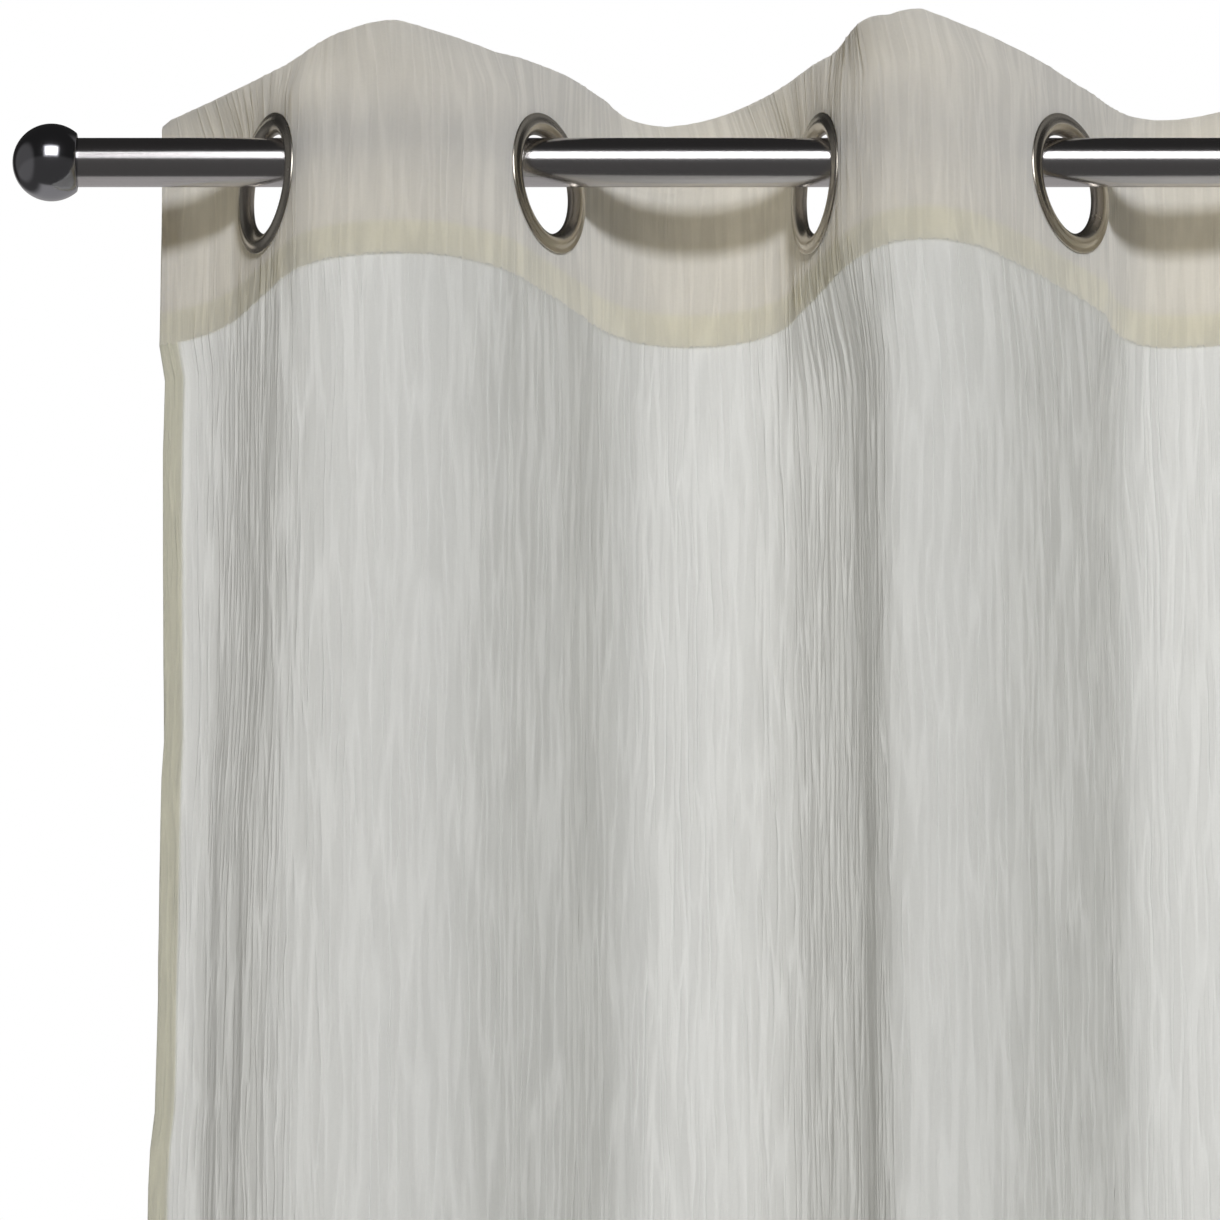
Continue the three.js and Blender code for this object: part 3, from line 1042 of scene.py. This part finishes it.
class Bench:
    """The modelling operators, each with what it acts on made plain."""

    @staticmethod
    def clear() -> None:
        """Leaves edit mode, with nothing selected."""
        if bpy.context.object is not None and bpy.context.object.mode != "OBJECT":
            bpy.ops.object.mode_set(mode="OBJECT")
        bpy.ops.object.select_all(action="DESELECT")

    @staticmethod
    def settle(name: str) -> Piece:
        """Names the new primitive and puts its place and turn into its mesh.

        Args:
            name: The piece's name.

        Returns:
            The piece.
        """
        piece = bpy.context.object
        piece.name = name
        piece.data.name = name
        bpy.ops.object.transform_apply(location=True, rotation=True, scale=True)
        return piece

    @staticmethod
    def edit(mode: str = "VERT") -> None:
        """Goes into edit mode, with everything selected.

        Args:
            mode: The select mode: VERT, EDGE or FACE.
        """
        bpy.ops.object.mode_set(mode="EDIT")
        bpy.ops.mesh.select_mode(type=mode)
        bpy.ops.mesh.select_all(action="SELECT")

    @staticmethod
    def select_faces(piece: Piece, chosen: Callable[[Vector, Vector], bool]) -> None:
        """Selects faces, in face mode.

        Args:
            piece: The piece.
            chosen: Accepts or refuses a face by its centre and its normal.
        """

        def accepted(face: bpy.types.MeshPolygon) -> bool:
            """Whether a face is chosen."""
            return chosen(face.center, face.normal)

        Bench.select(piece.data.polygons, "FACE", accepted)

    @staticmethod
    def select_edges(piece: Piece, chosen: Callable[[Vector], bool]) -> None:
        """Selects edges, in edge mode.

        Args:
            piece: The piece.
            chosen: Accepts or refuses a point. An edge needs both of its ends accepted.
        """
        points = piece.data.vertices

        def accepted(edge: bpy.types.MeshEdge) -> bool:
            """Whether both ends of an edge are chosen."""
            return all(chosen(points[end].co) for end in edge.vertices)

        Bench.select(piece.data.edges, "EDGE", accepted)

    @staticmethod
    def select(elements: Iterable, mode: str, accepted: Callable[..., bool]) -> None:
        """Selects elements by a test and goes back to edit mode.

        Args:
            elements: The mesh's faces or edges.
            mode: The select mode that suits them.
            accepted: The test.
        """
        Bench.edit(mode)
        bpy.ops.mesh.select_all(action="DESELECT")
        bpy.ops.object.mode_set(mode="OBJECT")
        for element in elements:
            element.select = bool(accepted(element))
        bpy.ops.object.mode_set(mode="EDIT")

    @staticmethod
    def finish(piece: Piece, smooth_degrees: float = 35) -> Piece:
        """Turns the faces out, shades the piece and leaves edit mode.

        Args:
            piece: The piece.
            smooth_degrees: The sharpest bend that is shaded smooth.

        Returns:
            The piece.
        """
        Bench.edit()
        bpy.ops.mesh.remove_doubles(threshold=TINY)
        bpy.ops.mesh.normals_make_consistent(inside=False)
        bpy.ops.object.mode_set(mode="OBJECT")
        bpy.ops.object.shade_smooth_by_angle(angle=math.radians(smooth_degrees))
        Bench.clear()
        return piece


def dress(piece: Piece, slot: Slot, material: Material, *nodes: str) -> None:
    """Gives a piece its finish and its body, and hides and logs the solids that it stands for.

    Args:
        piece: The piece.
        slot: Not used.
        material: Its finish.
        *nodes: The solids that it replaces.
    """
    piece.data.materials.clear()
    piece.data.materials.append(material)
    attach(piece, BODY)
    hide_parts(*nodes)
    LOG.info("%s: %d faces, stands for %s", piece.name, len(piece.data.polygons), ", ".join(nodes))


# ---------------------------------------------------------------- the curtain


@dataclass
class CurtainCloth:
    """The voile panel and the turned-down heading behind its top.

    A turn is the way that the cloth takes where it is folded over: how far from its edge each step
    lies, and its share of the gap between the cloth's face and its plan, below 0 at the back.
    """

    plan: ClothPlan = field(default_factory=ClothPlan)
    finish: VoileFinish = field(default_factory=VoileFinish)
    columns: int = 1140
    heading_rows: int = 24
    view_rows: int = 27
    view_depth: float = 520
    lower_rows: int = 27
    cut_radius: float = 25
    hole_radius: float = 24
    heading_gap: float = 1.15
    body_gap: float = 0.6
    gap_change: float = 30
    back_gap: float = 1.3
    side_turn: tuple[float, ...] = (0.35, 1.2, 4.5, 9.0)
    top_turn: tuple[Pair, ...] = ((1.6, -1), (0.45, -0.75), (0, 0), (0.45, 0.75), (1.6, 1))
    foot_turn: tuple[Pair, ...] = ((20, 1), (1.5, 1), (0, 0), (0.4, -0.8), (1.5, -1), (20, -1))
    heading_turn: tuple[Pair, ...] = ((0.6, -1), (0, -0.75), (0, -0.35), (0.6, -0.15))
    side_lean: Pair = (8, 45)
    first_lean: tuple[Pair, Pair] = ((0, 60), (-12, 45))
    ease_reach: float = 3.0
    ease_steps: int = 13
    held_by_ring: Pair = (24, 30)
    held_by_edge: Pair = (0, 8)

    def __post_init__(self) -> None:
        """Works out what depends on the plan."""
        self.eyelet_depth = self.plan.top + EYELET_BELOW_ROD
        self.relief = Relief(self.plan.eyelet_places, self.eyelet_depth, self.finish.heading_depth)
        flat = np.linspace(0, self.plan.width, self.columns + 1)
        inside = self.side_turn[0]
        self.threads = np.sort(np.concatenate([flat, [inside, self.plan.width - inside]]))

    def build(self) -> None:
        material = self.finish.make(self.plan.width)
        panel = self.panel()
        dress(panel, Slot.VOILE, material, "curtain_panel")
        heading = self.heading()
        dress(heading, Slot.HEADING, material, "heading_band")

    def panel(self) -> Piece:
        """Weaves the panel, with its top folded over and its hems turned to the back.

        Returns:
            The panel.
        """
        left = self.side_turn
        columns = [(x, -1.0) for x in reversed(left)]
        columns += [(x, self.edge_out(x)) for x in self.threads]
        columns += [(self.plan.width - x, -1.0) for x in left]
        foot = self.plan.drop
        rows = [*self.top_turn, *((depth, 1) for depth in self.row_depths())]
        rows += [(foot - step, share) for step, share in (*self.foot_turn, (self.finish.foot_hem, -1))]
        return self.weave("voile_panel", columns, rows)

    def heading(self) -> Piece:
        """Weaves the back layer of the heading, with its foot turned in towards the panel.

        Returns:
            The layer.
        """
        foot = self.finish.heading_depth
        inside = self.side_turn[0]
        columns = [(x, 1.0) for x in self.threads if inside <= x <= self.plan.width - inside]
        first, *turn = self.heading_turn
        depths = np.linspace(self.top_turn[0][0], foot - first[0], self.heading_rows + 1)
        rows = [(depth, first[1]) for depth in depths]
        rows += [(foot - step, share) for step, share in turn]
        rows += [(self.finish.strip_depth, turn[-1][1])]
        return self.weave("heading_layer", columns, rows, behind=True)

    def row_depths(self) -> list[float]:
        """The depths of the panel's rows between its top fold and its foot's turn.

        Returns:
            The depths, close together where the cloth is seen from near.
        """
        top = self.top_turn[-1][0]
        foot = self.finish.heading_depth
        heading = np.linspace(top, foot, self.heading_rows + 1)[1:]
        near = np.linspace(foot, self.view_depth, self.view_rows + 1)[1:]
        hem = self.plan.drop - self.finish.foot_hem
        lower = np.linspace(self.view_depth, hem, self.lower_rows + 1)[1:]
        return [*heading, *near, *lower]

    def edge_out(self, flat: float) -> float:
        """How far out a column of the panel's face stands, which curves in at its side hems.

        Args:
            flat: The column's place on the flat cloth.

        Returns:
            Its share of the gap.
        """
        aside = min(flat, self.plan.width - flat)
        return float(np.interp(aside, (0, self.side_turn[0], self.side_turn[1]), (0, 0.75, 1)))

    def gap(self, depth: Array) -> Array:
        """How far the face of the cloth stands in front of its plan, before its relief.

        Args:
            depth: Depths down the cloth.

        Returns:
            The gap at each.
        """
        foot = self.finish.heading_depth
        thinned = smoothstep(depth, foot, foot + self.gap_change)
        return self.heading_gap + (self.body_gap - self.heading_gap) * thinned

    def weave(
        self,
        name: str,
        columns: list[Pair],
        rows: list[Pair],
        behind: bool = False,
    ) -> Piece:
        """Makes a sheet from columns and rows that may fold back on themselves.

        Args:
            name: The piece's name.
            columns: Each column's place on the flat cloth and its share of the gap.
            rows: Each row's depth and its share of the gap.
            behind: Whether the sheet lies behind the panel all over.

        Returns:
            The piece, with eyelet holes cut.
        """
        flat, column_out = np.array(columns, float).T
        depth, row_out = np.array(rows, float).T
        out = row_out[:, None] * column_out[None, :]
        if not behind:
            both_back = (row_out[:, None] < 0) & (column_out[None, :] < 0)
            out = np.where(both_back, -np.abs(out) * self.back_gap, out)
        flat_grid, depth_grid = np.meshgrid(flat, depth)
        crinkle = self.relief.crinkle(flat_grid, depth_grid)
        height = self.relief.height(flat_grid, depth_grid) + out * self.gap(depth_grid)
        flat_grid, depth_grid = self.round_holes(flat_grid, depth_grid)
        points, turned = self.hang(flat, depth, flat_grid, depth_grid, height)
        attributes = {"crinkle": crinkle, "turned": turned}
        return self.mesh_of(name, flat_grid, depth_grid, points, attributes)

    def hang(
        self,
        flat: Array,
        depth: Array,
        flat_grid: Array,
        depth_grid: Array,
        height: Array,
    ) -> tuple[Array, Array]:
        """Hangs a grid of threads on the plan.

        Args:
            flat: The columns' places on the flat cloth.
            depth: The rows' depths.
            flat_grid: Each point's place on the flat cloth, moved where a hole is rounded.
            depth_grid: Each point's depth, moved where a hole is rounded.
            height: How far each point stands in front of the plan.

        Returns:
            The points in metres, as rows by columns by 3, and how far the cloth is turned from the
            curtain's face at each, from 0 to 1.
        """
        threads = np.sort(flat)
        rising = np.maximum.accumulate(threads + np.arange(len(flat)) * TINY)
        lines = {station: self.plan.line_at(station, threads) for station in Station}
        lines = {station: self.softened(line, threads) for station, line in lines.items()}
        lift = np.interp(lines[Station.EDGE][:, 0], *zip(*TOP_EDGE))
        by_side, by_first = self.leaning(threads)
        points = np.zeros((*height.shape, 3))
        turned = np.zeros(height.shape)
        for row, deep in enumerate(depth):
            z = self.plan.top - deep
            line = sum(lines[s] * w for s, w in self.plan.weights_at(z).items())
            lean = by_side * np.interp(deep, *zip(*SIDE_EDGE))
            lean = lean + by_first * np.interp(deep, *zip(*FIRST_WALL))
            line = line + np.outer(lean, (1, 0))
            along = np.gradient(line, rising, axis=0)
            along = along / np.linalg.norm(along, axis=1, keepdims=True)
            over_rings = (z - self.plan.ring_top) / (self.plan.top - self.plan.ring_top)
            rise = lift * np.clip(over_rings, 0, 1)
            values = (*line.T, -along[:, 1], along[:, 0], rise)
            across, forward, normal_across, normal_forward, raised = (
                np.interp(flat_grid[row], threads, value) for value in values
            )
            turned[row] = 1 - np.abs(normal_forward)
            points[row, :, 0] = across + normal_across * height[row]
            points[row, :, 1] = -(forward + normal_forward * height[row])
            points[row, :, 2] = self.plan.top - depth_grid[row] + raised
        return points * MM, turned

    def leaning(self, flat: Array) -> tuple[Array, Array]:
        """Finds which threads lean aside as they go down the cloth.

        Args:
            flat: The threads' places on the flat cloth.

        Returns:
            Each thread's share in the side edges' lean, below 0 at the right, and in the first wall's.
        """
        aside = np.minimum(flat, self.plan.width - flat)
        by_side = (1 - smoothstep(aside, *self.side_lean)) * np.sign(self.plan.width / 2 - flat)
        grows, fades = self.first_lean
        past_first = flat - self.plan.joins[1]
        return by_side, smoothstep(flat, *grows) * (1 - smoothstep(past_first, *fades))

    def softened(self, line: Array, flat: Array) -> Array:
        """Eases the kinks of the plan beside the rings, and keeps the rings' own stretches.

        Args:
            line: The plan's points (across, forward), one a row.
            flat: Their places on the flat cloth.

        Returns:
            The eased points.
        """
        reach = self.ease_reach
        eased = np.zeros_like(line)
        total = 0.0
        for offset in np.linspace(-2 * reach, 2 * reach, self.ease_steps):
            weight = math.exp(-((offset / reach) ** 2))
            place = np.clip(flat + offset, 0, self.plan.width)
            moved = [np.interp(place, flat, line[:, axis]) for axis in range(2)]
            eased += weight * np.stack(moved, axis=1)
            total += weight
        eased /= total
        nearest = np.abs(flat[:, None] - self.plan.eyelet_places[None, :]).min(axis=1)
        aside = np.minimum(flat, self.plan.width - flat)
        free = smoothstep(nearest, *self.held_by_ring) * smoothstep(aside, *self.held_by_edge)
        return line + (eased - line) * free[:, None]

    def round_holes(self, flat: Array, depth: Array) -> tuple[Array, Array]:
        """Moves the points inside each hole's cut out to its edge.

        Args:
            flat: Each point's place on the flat cloth.
            depth: Each point's depth.

        Returns:
            The moved places and depths.
        """
        flat, depth = flat.copy(), depth.copy()
        for place in self.plan.eyelet_places:
            aside, below = flat - place, depth - self.eyelet_depth
            radius = np.hypot(aside, below)
            inside = (radius < self.cut_radius) & (radius > TINY)
            scale = np.where(inside, self.hole_radius / np.maximum(radius, TINY), 1)
            flat = place + aside * scale
            depth = self.eyelet_depth + below * scale
        return flat, depth

    def mesh_of(
        self,
        name: str,
        flat: Array,
        depth: Array,
        points: Array,
        attributes: dict[str, Array],
    ) -> Piece:
        """Makes the mesh of a grid, without the faces inside the eyelet holes.

        Args:
            name: The piece's name.
            flat: Each point's place on the flat cloth.
            depth: Each point's depth.
            points: The points in metres.
            attributes: Numbers for the finish at each point, by the attribute's name.

        Returns:
            The piece, with its map of the flat cloth and the attributes.
        """
        rows, columns = flat.shape
        number = np.arange(rows * columns).reshape(rows, columns)
        corners = (number[:-1, :-1], number[1:, :-1], number[1:, 1:], number[:-1, 1:])
        faces = np.stack([c.ravel() for c in corners], axis=1)
        cut = np.zeros(rows * columns, bool)
        for place in self.plan.eyelet_places:
            cut |= np.hypot(flat - place, depth - self.eyelet_depth).ravel() < self.hole_radius + 0.01
        faces = faces[~cut[faces].all(axis=1)]
        used = np.unique(faces)
        renumber = np.zeros(rows * columns, int)
        renumber[used] = np.arange(len(used))
        faces = renumber[faces]
        mesh = bpy.data.meshes.new(name)
        mesh.from_pydata(points.reshape(-1, 3)[used].tolist(), [], faces.tolist())
        layer = mesh.uv_layers.new(name=CLOTH_MAP)
        place = np.stack([flat.ravel(), depth.ravel()], axis=1)[used] * MM
        layer.data.foreach_set("uv", place[faces.ravel()].astype(np.float32).ravel())
        for title, values in attributes.items():
            attribute = mesh.attributes.new(title, "FLOAT", "POINT")
            attribute.data.foreach_set("value", values.ravel()[used].astype(np.float32))
        mesh.shade_smooth()
        mesh.update()
        piece = bpy.data.objects.new(name, mesh)
        bpy.context.scene.collection.objects.link(piece)
        return piece


# ---------------------------------------------------------------- the eyelets


@dataclass
class EyeletSet:
    """The eyelets: a face ring with a raised lip and a barrel, and a closing ring behind the cloth.

    An outline is a list of (radius, height out of the cloth's face).
    """

    sides: int = 96
    front: tuple[Pair, ...] = (
        *((20.4, -1.3), (22.0, -1.3), (22.0, 1.3), (28.6, 1.3), (29.0, 1.45), (29.15, 1.75)),
        *((28.95, 2.1), (28.4, 2.25), (27.5, 2.2), (26.8, 2.4), (26.1, 2.85), (25.3, 3.15)),
        *((24.5, 3.2), (23.5, 2.95), (22.5, 2.4), (21.6, 1.6), (20.9, 0.6), (20.5, -0.4)),
    )
    back: tuple[Pair, ...] = (
        *((22.3, -1.4), (22.3, -2.1), (22.7, -2.6), (23.6, -2.9), (25.2, -2.9)),
        *((27.4, -2.55), (28.7, -2.2), (29.1, -1.9), (28.9, -1.6), (28.3, -1.4)),
    )

    def build(self, material: Material) -> None:
        """Models each half once, and copies it to every eyelet with a mesh of its own.

        Args:
            material: The rings' finish.
        """
        for half, outline in ((RingHalf.FRONT, self.front), (RingHalf.BACK, self.back)):
            pattern = self.turned(f"ring_{half.value}", outline)
            for index, wall in enumerate(WALLS):
                number = index + 1
                ring = bpy.data.objects.new(f"ring_{half.value}_{number}", pattern.data.copy())
                bpy.context.scene.collection.objects.link(ring)
                ring.data.transform(self.seat(wall))
                dress(ring, Slot.NICKEL, material, f"eyelet_{half.value}_{number}")
            bpy.data.objects.remove(pattern)

    def seat(self, wall: Wall) -> Matrix:
        """The place of a ring: its own -Y looks out of the cloth's face."""
        place = Matrix.Translation((wall.across * MM, 0, -EYELET_BELOW_ROD * MM))
        return place @ Matrix.Rotation(-math.radians(wall.ring_angle), 4, "Z")

    def turned(self, name: str, outline: tuple[Pair, ...]) -> Piece:
        """Draws a ring from a circle, whose loop is extruded and resized from point to point.

        Args:
            name: The ring's name.
            outline: Its closed outline.

        Returns:
            The ring, centred on the origin.
        """
        Bench.clear()
        radius, height = outline[0]
        bpy.ops.mesh.primitive_circle_add(
            vertices=self.sides,
            radius=radius * MM,
            location=(0, -height * MM, 0),
            rotation=(math.pi / 2, 0, 0),
        )
        ring = Bench.settle(name)
        Bench.edit()
        for next_radius, next_height in (*outline[1:], outline[0]):
            step = (0, -(next_height - height) * MM, 0)
            bpy.ops.mesh.extrude_region_move(TRANSFORM_OT_translate={"value": step})
            grow = next_radius / radius
            bpy.ops.transform.resize(value=(grow, 1, grow), center_override=(0, -next_height * MM, 0))
            radius, height = next_radius, next_height
        return Bench.finish(ring, smooth_degrees=40)


# ---------------------------------------------------------------- the rod and its ends


@dataclass
class RodAndEnds:
    """The rod, which is a tube, and the cut ball at each end of it."""

    radius: float = 10
    bare_half_length: float = 456
    socket_depth: float = 8
    clearance: float = 0.3
    tube_wall: float = 1.2
    bore_depth: float = 60
    edge_bevel: float = 0.3
    ball_radius: float = 15.8
    cut_from_centre: float = 10.5
    rim_bevel: float = 0.5
    edge_zone: float = 0.98
    rod_sides: int = 128
    ball_sides: int = 96
    ball_rings: int = 64

    def build(self, steel: Material, chrome: Material) -> None:
        """Builds the rod and both ends, and dresses them.

        Args:
            steel: The rod's finish.
            chrome: The ends' finish.
        """
        dress(self.rod(), Slot.STEEL, steel, "rod")
        left = self.ball("ball_end_left")
        right = bpy.data.objects.new("ball_end_right", left.data.copy())
        bpy.context.scene.collection.objects.link(right)
        right.data.transform(Matrix.Rotation(math.pi, 4, "Z"))
        dress(left, Slot.DARK_CHROME, chrome, "finial_left")
        dress(right, Slot.DARK_CHROME, chrome, "finial_right")

    def rod(self) -> Piece:
        """Models the rod: a cylinder with bored ends and broken edges.

        Returns:
            The rod.
        """
        end = (self.bare_half_length + self.socket_depth - self.clearance) * MM
        Bench.clear()
        bpy.ops.mesh.primitive_cylinder_add(
            vertices=self.rod_sides,
            radius=self.radius * MM,
            depth=2 * end,
            rotation=(0, math.pi / 2, 0),
        )
        rod = Bench.settle("curtain_rod")
        for side in (-1, 1):

            def on_end(centre: Vector, normal: Vector, side: int = side) -> bool:
                """Whether a face is the rod's end on this side."""
                return normal.x * side > ALONG_X and centre.x * side > 0

            Bench.select_faces(rod, on_end)
            bpy.ops.mesh.inset(thickness=self.tube_wall * MM, depth=0)
            bore = (-side * self.bore_depth * MM, 0, 0)
            bpy.ops.mesh.extrude_region_move(TRANSFORM_OT_translate={"value": bore})
        bpy.ops.object.mode_set(mode="OBJECT")

        inside = self.radius * self.edge_zone * MM

        def on_rim(point: Vector) -> bool:
            """Whether a point lies on the outer edge of one of the rod's ends."""
            return abs(abs(point.x) - end) < TINY and math.hypot(point.y, point.z) > inside

        Bench.select_edges(rod, on_rim)
        bpy.ops.mesh.bevel(offset=self.edge_bevel * MM, segments=2, affect="EDGES")
        return Bench.finish(rod)

    def ball(self, name: str) -> Piece:
        """Models the left end: a ball cut flat, with a socket for the rod and a broken rim.

        Args:
            name: The piece's name.

        Returns:
            The ball at the rod's left end.
        """
        cut = -self.bare_half_length * MM
        centre = cut - self.cut_from_centre * MM
        Bench.clear()
        bpy.ops.mesh.primitive_uv_sphere_add(
            segments=self.ball_sides,
            ring_count=self.ball_rings,
            radius=self.ball_radius * MM,
            location=(centre, 0, 0),
            rotation=(0, math.pi / 2, 0),
        )
        ball = Bench.settle(name)
        Bench.edit()
        bpy.ops.mesh.bisect(plane_co=(cut, 0, 0), plane_no=(1, 0, 0), use_fill=True, clear_outer=True)
        bpy.ops.object.mode_set(mode="OBJECT")
        Bench.select_edges(ball, lambda point: abs(point.x - cut) < TINY)
        bpy.ops.mesh.bevel(offset=self.rim_bevel * MM, segments=3, affect="EDGES")
        bpy.ops.object.mode_set(mode="OBJECT")
        Bench.select_faces(
            ball, lambda middle, normal: normal.x > ALONG_X and abs(middle.x - cut) < 10 * TINY
        )
        face_radius = math.sqrt(self.ball_radius**2 - self.cut_from_centre**2) - self.rim_bevel
        socket = self.radius + self.clearance
        bpy.ops.mesh.inset(thickness=(face_radius - socket) * MM, depth=0)
        bottom = (-self.socket_depth * MM, 0, 0)
        bpy.ops.mesh.extrude_region_move(TRANSFORM_OT_translate={"value": bottom})
        return Bench.finish(ball)


# ---------------------------------------------------------------- the studio


@dataclass(frozen=True)
class Softbox:
    """An area light, placed by its direction from a point on the curtain. Angles are in degrees.

    Azimuth 0 is straight in front of the curtain, 90 is to its right and 180 behind it.
    """

    name: str
    azimuth: float
    elevation: float
    distance: float
    width: float
    height: float
    watts: float
    on_cloth: bool = True
    in_metal: bool = False
    aim: tuple[float, float, float] = (0.0, 0.0, 0.0)
    colour: tuple[float, float, float] = (1.0, 1.0, 1.0)

    def place(self) -> None:
        """Adds the light to the scene."""
        data = bpy.data.lights.new(self.name, "AREA")
        data.shape = "RECTANGLE"
        data.size = self.width
        data.size_y = self.height
        data.energy = self.watts
        data.color = self.colour
        turn, rise = math.radians(self.azimuth), math.radians(self.elevation)
        away = Vector(
            (math.sin(turn) * math.cos(rise), -math.cos(turn) * math.cos(rise), math.sin(rise))
        )
        light = bpy.data.objects.new(self.name, data)
        light.location = Vector(self.aim) + away * self.distance
        light.rotation_euler = away.to_track_quat("Z", "Y").to_euler()
        light.visible_camera = False
        light.visible_diffuse = self.on_cloth
        light.visible_transmission = self.on_cloth
        light.visible_glossy = self.in_metal
        bpy.context.scene.collection.objects.link(light)


@dataclass
class Studio:
    """A pale floor, a white backdrop, soft lights and the camera.

    The metal reflects a dim room. A zone of it starts and ends where its way, a part of a
    direction of length 1, passes two values, and each zone adds its own glow.
    """

    target: tuple[float, float, float] = (-0.2399, 0.0, -0.1932)
    distance: float = 4.2
    elevation: float = -20
    lens: float = 310.3
    sensor: float = 36
    floor_half_width: float = 3.5
    floor_gap: float = 0.004
    foot: float = -2.3594
    backdrop_white: float = 1.0
    room_light: float = 0.03
    room_colour: Colour = rgb(1.0, 0.95, 0.88)
    clip: Pair = (0.05, 200)
    speckles_per_metre: float = 9.0
    floor_colours: tuple[Colour, Colour] = (rgb(0.76, 0.76, 0.75), rgb(0.80, 0.80, 0.79))
    dim_colour: Colour = rgb(1, 0.98, 0.96)
    dim_glow: float = 0.03
    low_glow: float = 0.06
    cloth_glow: float = 0.4
    far_left_glow: float = 0.13
    right_glow: float = 0.16
    behind: Pair = (0.0, 0.12)
    low: Pair = (-0.05, 0.1)
    cloth_top: Pair = (-0.45, -0.3)
    cloth_left: Pair = (0.3, 0.55)
    far_left: Pair = (0.7, 0.85)
    right: Pair = (0.4, 0.7)
    softboxes: tuple[Softbox, ...] = (
        Softbox("key_light", 10, 7, 5.0, 0.6, 0.6, 170, aim=(-0.1, 0, 0)),
        Softbox("back_light", 180, 8, 2.0, 3.2, 1.3, 19),
        Softbox("back_right_light", 135, 6, 2.4, 2.0, 1.5, 32),
        Softbox("window", 0, 14, 4.0, 2.4, 1.8, 70, False, True, aim=(-0.3, 0, 0)),
        Softbox("window_edge", 0, 14, 4.1, 3.2, 2.6, 26, False, True, aim=(-0.3, 0, 0)),
    )

    def build(self) -> None:
        """Builds the floor, the backdrop's light, the lights and the camera."""
        self.floor()
        self.backdrop()
        for softbox in self.softboxes:
            softbox.place()
        self.camera()

    def floor(self) -> None:
        """Lays the pale floor under the curtain's foot, which can't be seen from below."""
        Bench.clear()
        bpy.ops.mesh.primitive_plane_add(
            size=2 * self.floor_half_width, location=(0, 0, self.foot - self.floor_gap)
        )
        floor = Bench.settle("studio_floor")
        material, tree = new_material("pale_floor")
        place = tree.node("TexCoord").outputs["Object"]
        speckles = tree.noise(place, self.speckles_per_metre)
        colour = tree.mix(Blend.COLOURS, speckles, *self.floor_colours)
        matt = tree.node("BsdfDiffuse", Color=colour)
        beneath = tree.node("NewGeometry").outputs["Backfacing"]
        seen = tree.mix(Blend.SHADERS, beneath, matt, tree.node("BsdfTransparent"))
        tree.node("OutputMaterial", Surface=seen)
        floor.data.materials.append(material)
        floor.visible_glossy = False

    def backdrop(self) -> None:
        """Lights the room: white to look at, dim in the metal's reflections, a soft fill elsewhere."""
        world = bpy.data.worlds.new("studio_room")
        bpy.context.scene.world = world
        world.use_nodes = True
        tree = Tree(world.node_tree)
        dim = tree.node("Background", Color=self.dim_colour, Strength=self.glow(tree))
        fill = tree.node("Background", Color=self.room_colour, Strength=self.room_light)
        white = tree.node("Background", Color=rgb(1, 1, 1), Strength=self.backdrop_white)
        ray = tree.node("LightPath")
        indirect = tree.mix(Blend.SHADERS, ray.outputs["Is Glossy Ray"], fill, dim)
        seen = tree.mix(Blend.SHADERS, ray.outputs["Is Camera Ray"], indirect, white)
        tree.node("OutputWorld", Surface=seen)

    def glow(self, tree: Tree) -> Socket:
        """Sets how bright the room looks in the metal, zone by zone.

        Args:
            tree: The world's tree.

        Returns:
            The brightness of each way.
        """
        way = tree.node("SeparateXYZ", Vector=tree.node("TexCoord").outputs["Generated"])
        rightward, backward, upward = way.outputs
        leftward = tree.math("MULTIPLY", rightward, -1.0)
        downward = tree.math("MULTIPLY", upward, -1.0)
        behind = tree.step(backward, *self.behind)
        on_cloth = tree.math("MULTIPLY", tree.step(downward, *self.cloth_top), behind)
        on_cloth = tree.math("MULTIPLY", on_cloth, tree.except_in(leftward, *self.cloth_left))
        zones = (
            (tree.step(downward, *self.low), self.low_glow),
            (on_cloth, self.cloth_glow),
            (tree.step(leftward, *self.far_left), self.far_left_glow),
            (tree.math("MULTIPLY", tree.step(rightward, *self.right), behind), self.right_glow),
        )
        level = self.dim_glow
        for zone, glow in zones:
            level = tree.math("MULTIPLY_ADD", zone, glow, level)
        return level

    def camera(self) -> None:
        """Sets up the camera, level from side to side and looking up at the heading."""
        data = bpy.data.cameras.new("studio_camera")
        data.lens = self.lens
        data.sensor_width = self.sensor
        data.clip_start, data.clip_end = self.clip
        rise = math.radians(self.elevation)
        away = Vector((0, -math.cos(rise), math.sin(rise)))
        camera = bpy.data.objects.new("studio_camera", data)
        camera.location = Vector(self.target) + away * self.distance
        camera.rotation_euler = away.to_track_quat("Z", "Y").to_euler()
        bpy.context.scene.collection.objects.link(camera)
        bpy.context.scene.camera = camera


# ---------------------------------------------------------------- assembly


def write_sizes() -> None:
    bpy.context.view_layer.update()


def main() -> None:
    """Builds every piece in order."""
    logging.basicConfig(level=logging.INFO, format="%(name)s: %(message)s")
    bpy.context.scene.view_settings.view_transform = "Standard"
    Studio().build()
    RodAndEnds().build(BRUSHED_STEEL.make(), DARK_CHROME.make())
    EyeletSet().build(SATIN_NICKEL.make())
    CurtainCloth().build()
    write_sizes()


if __name__ == "__main__":
    main()
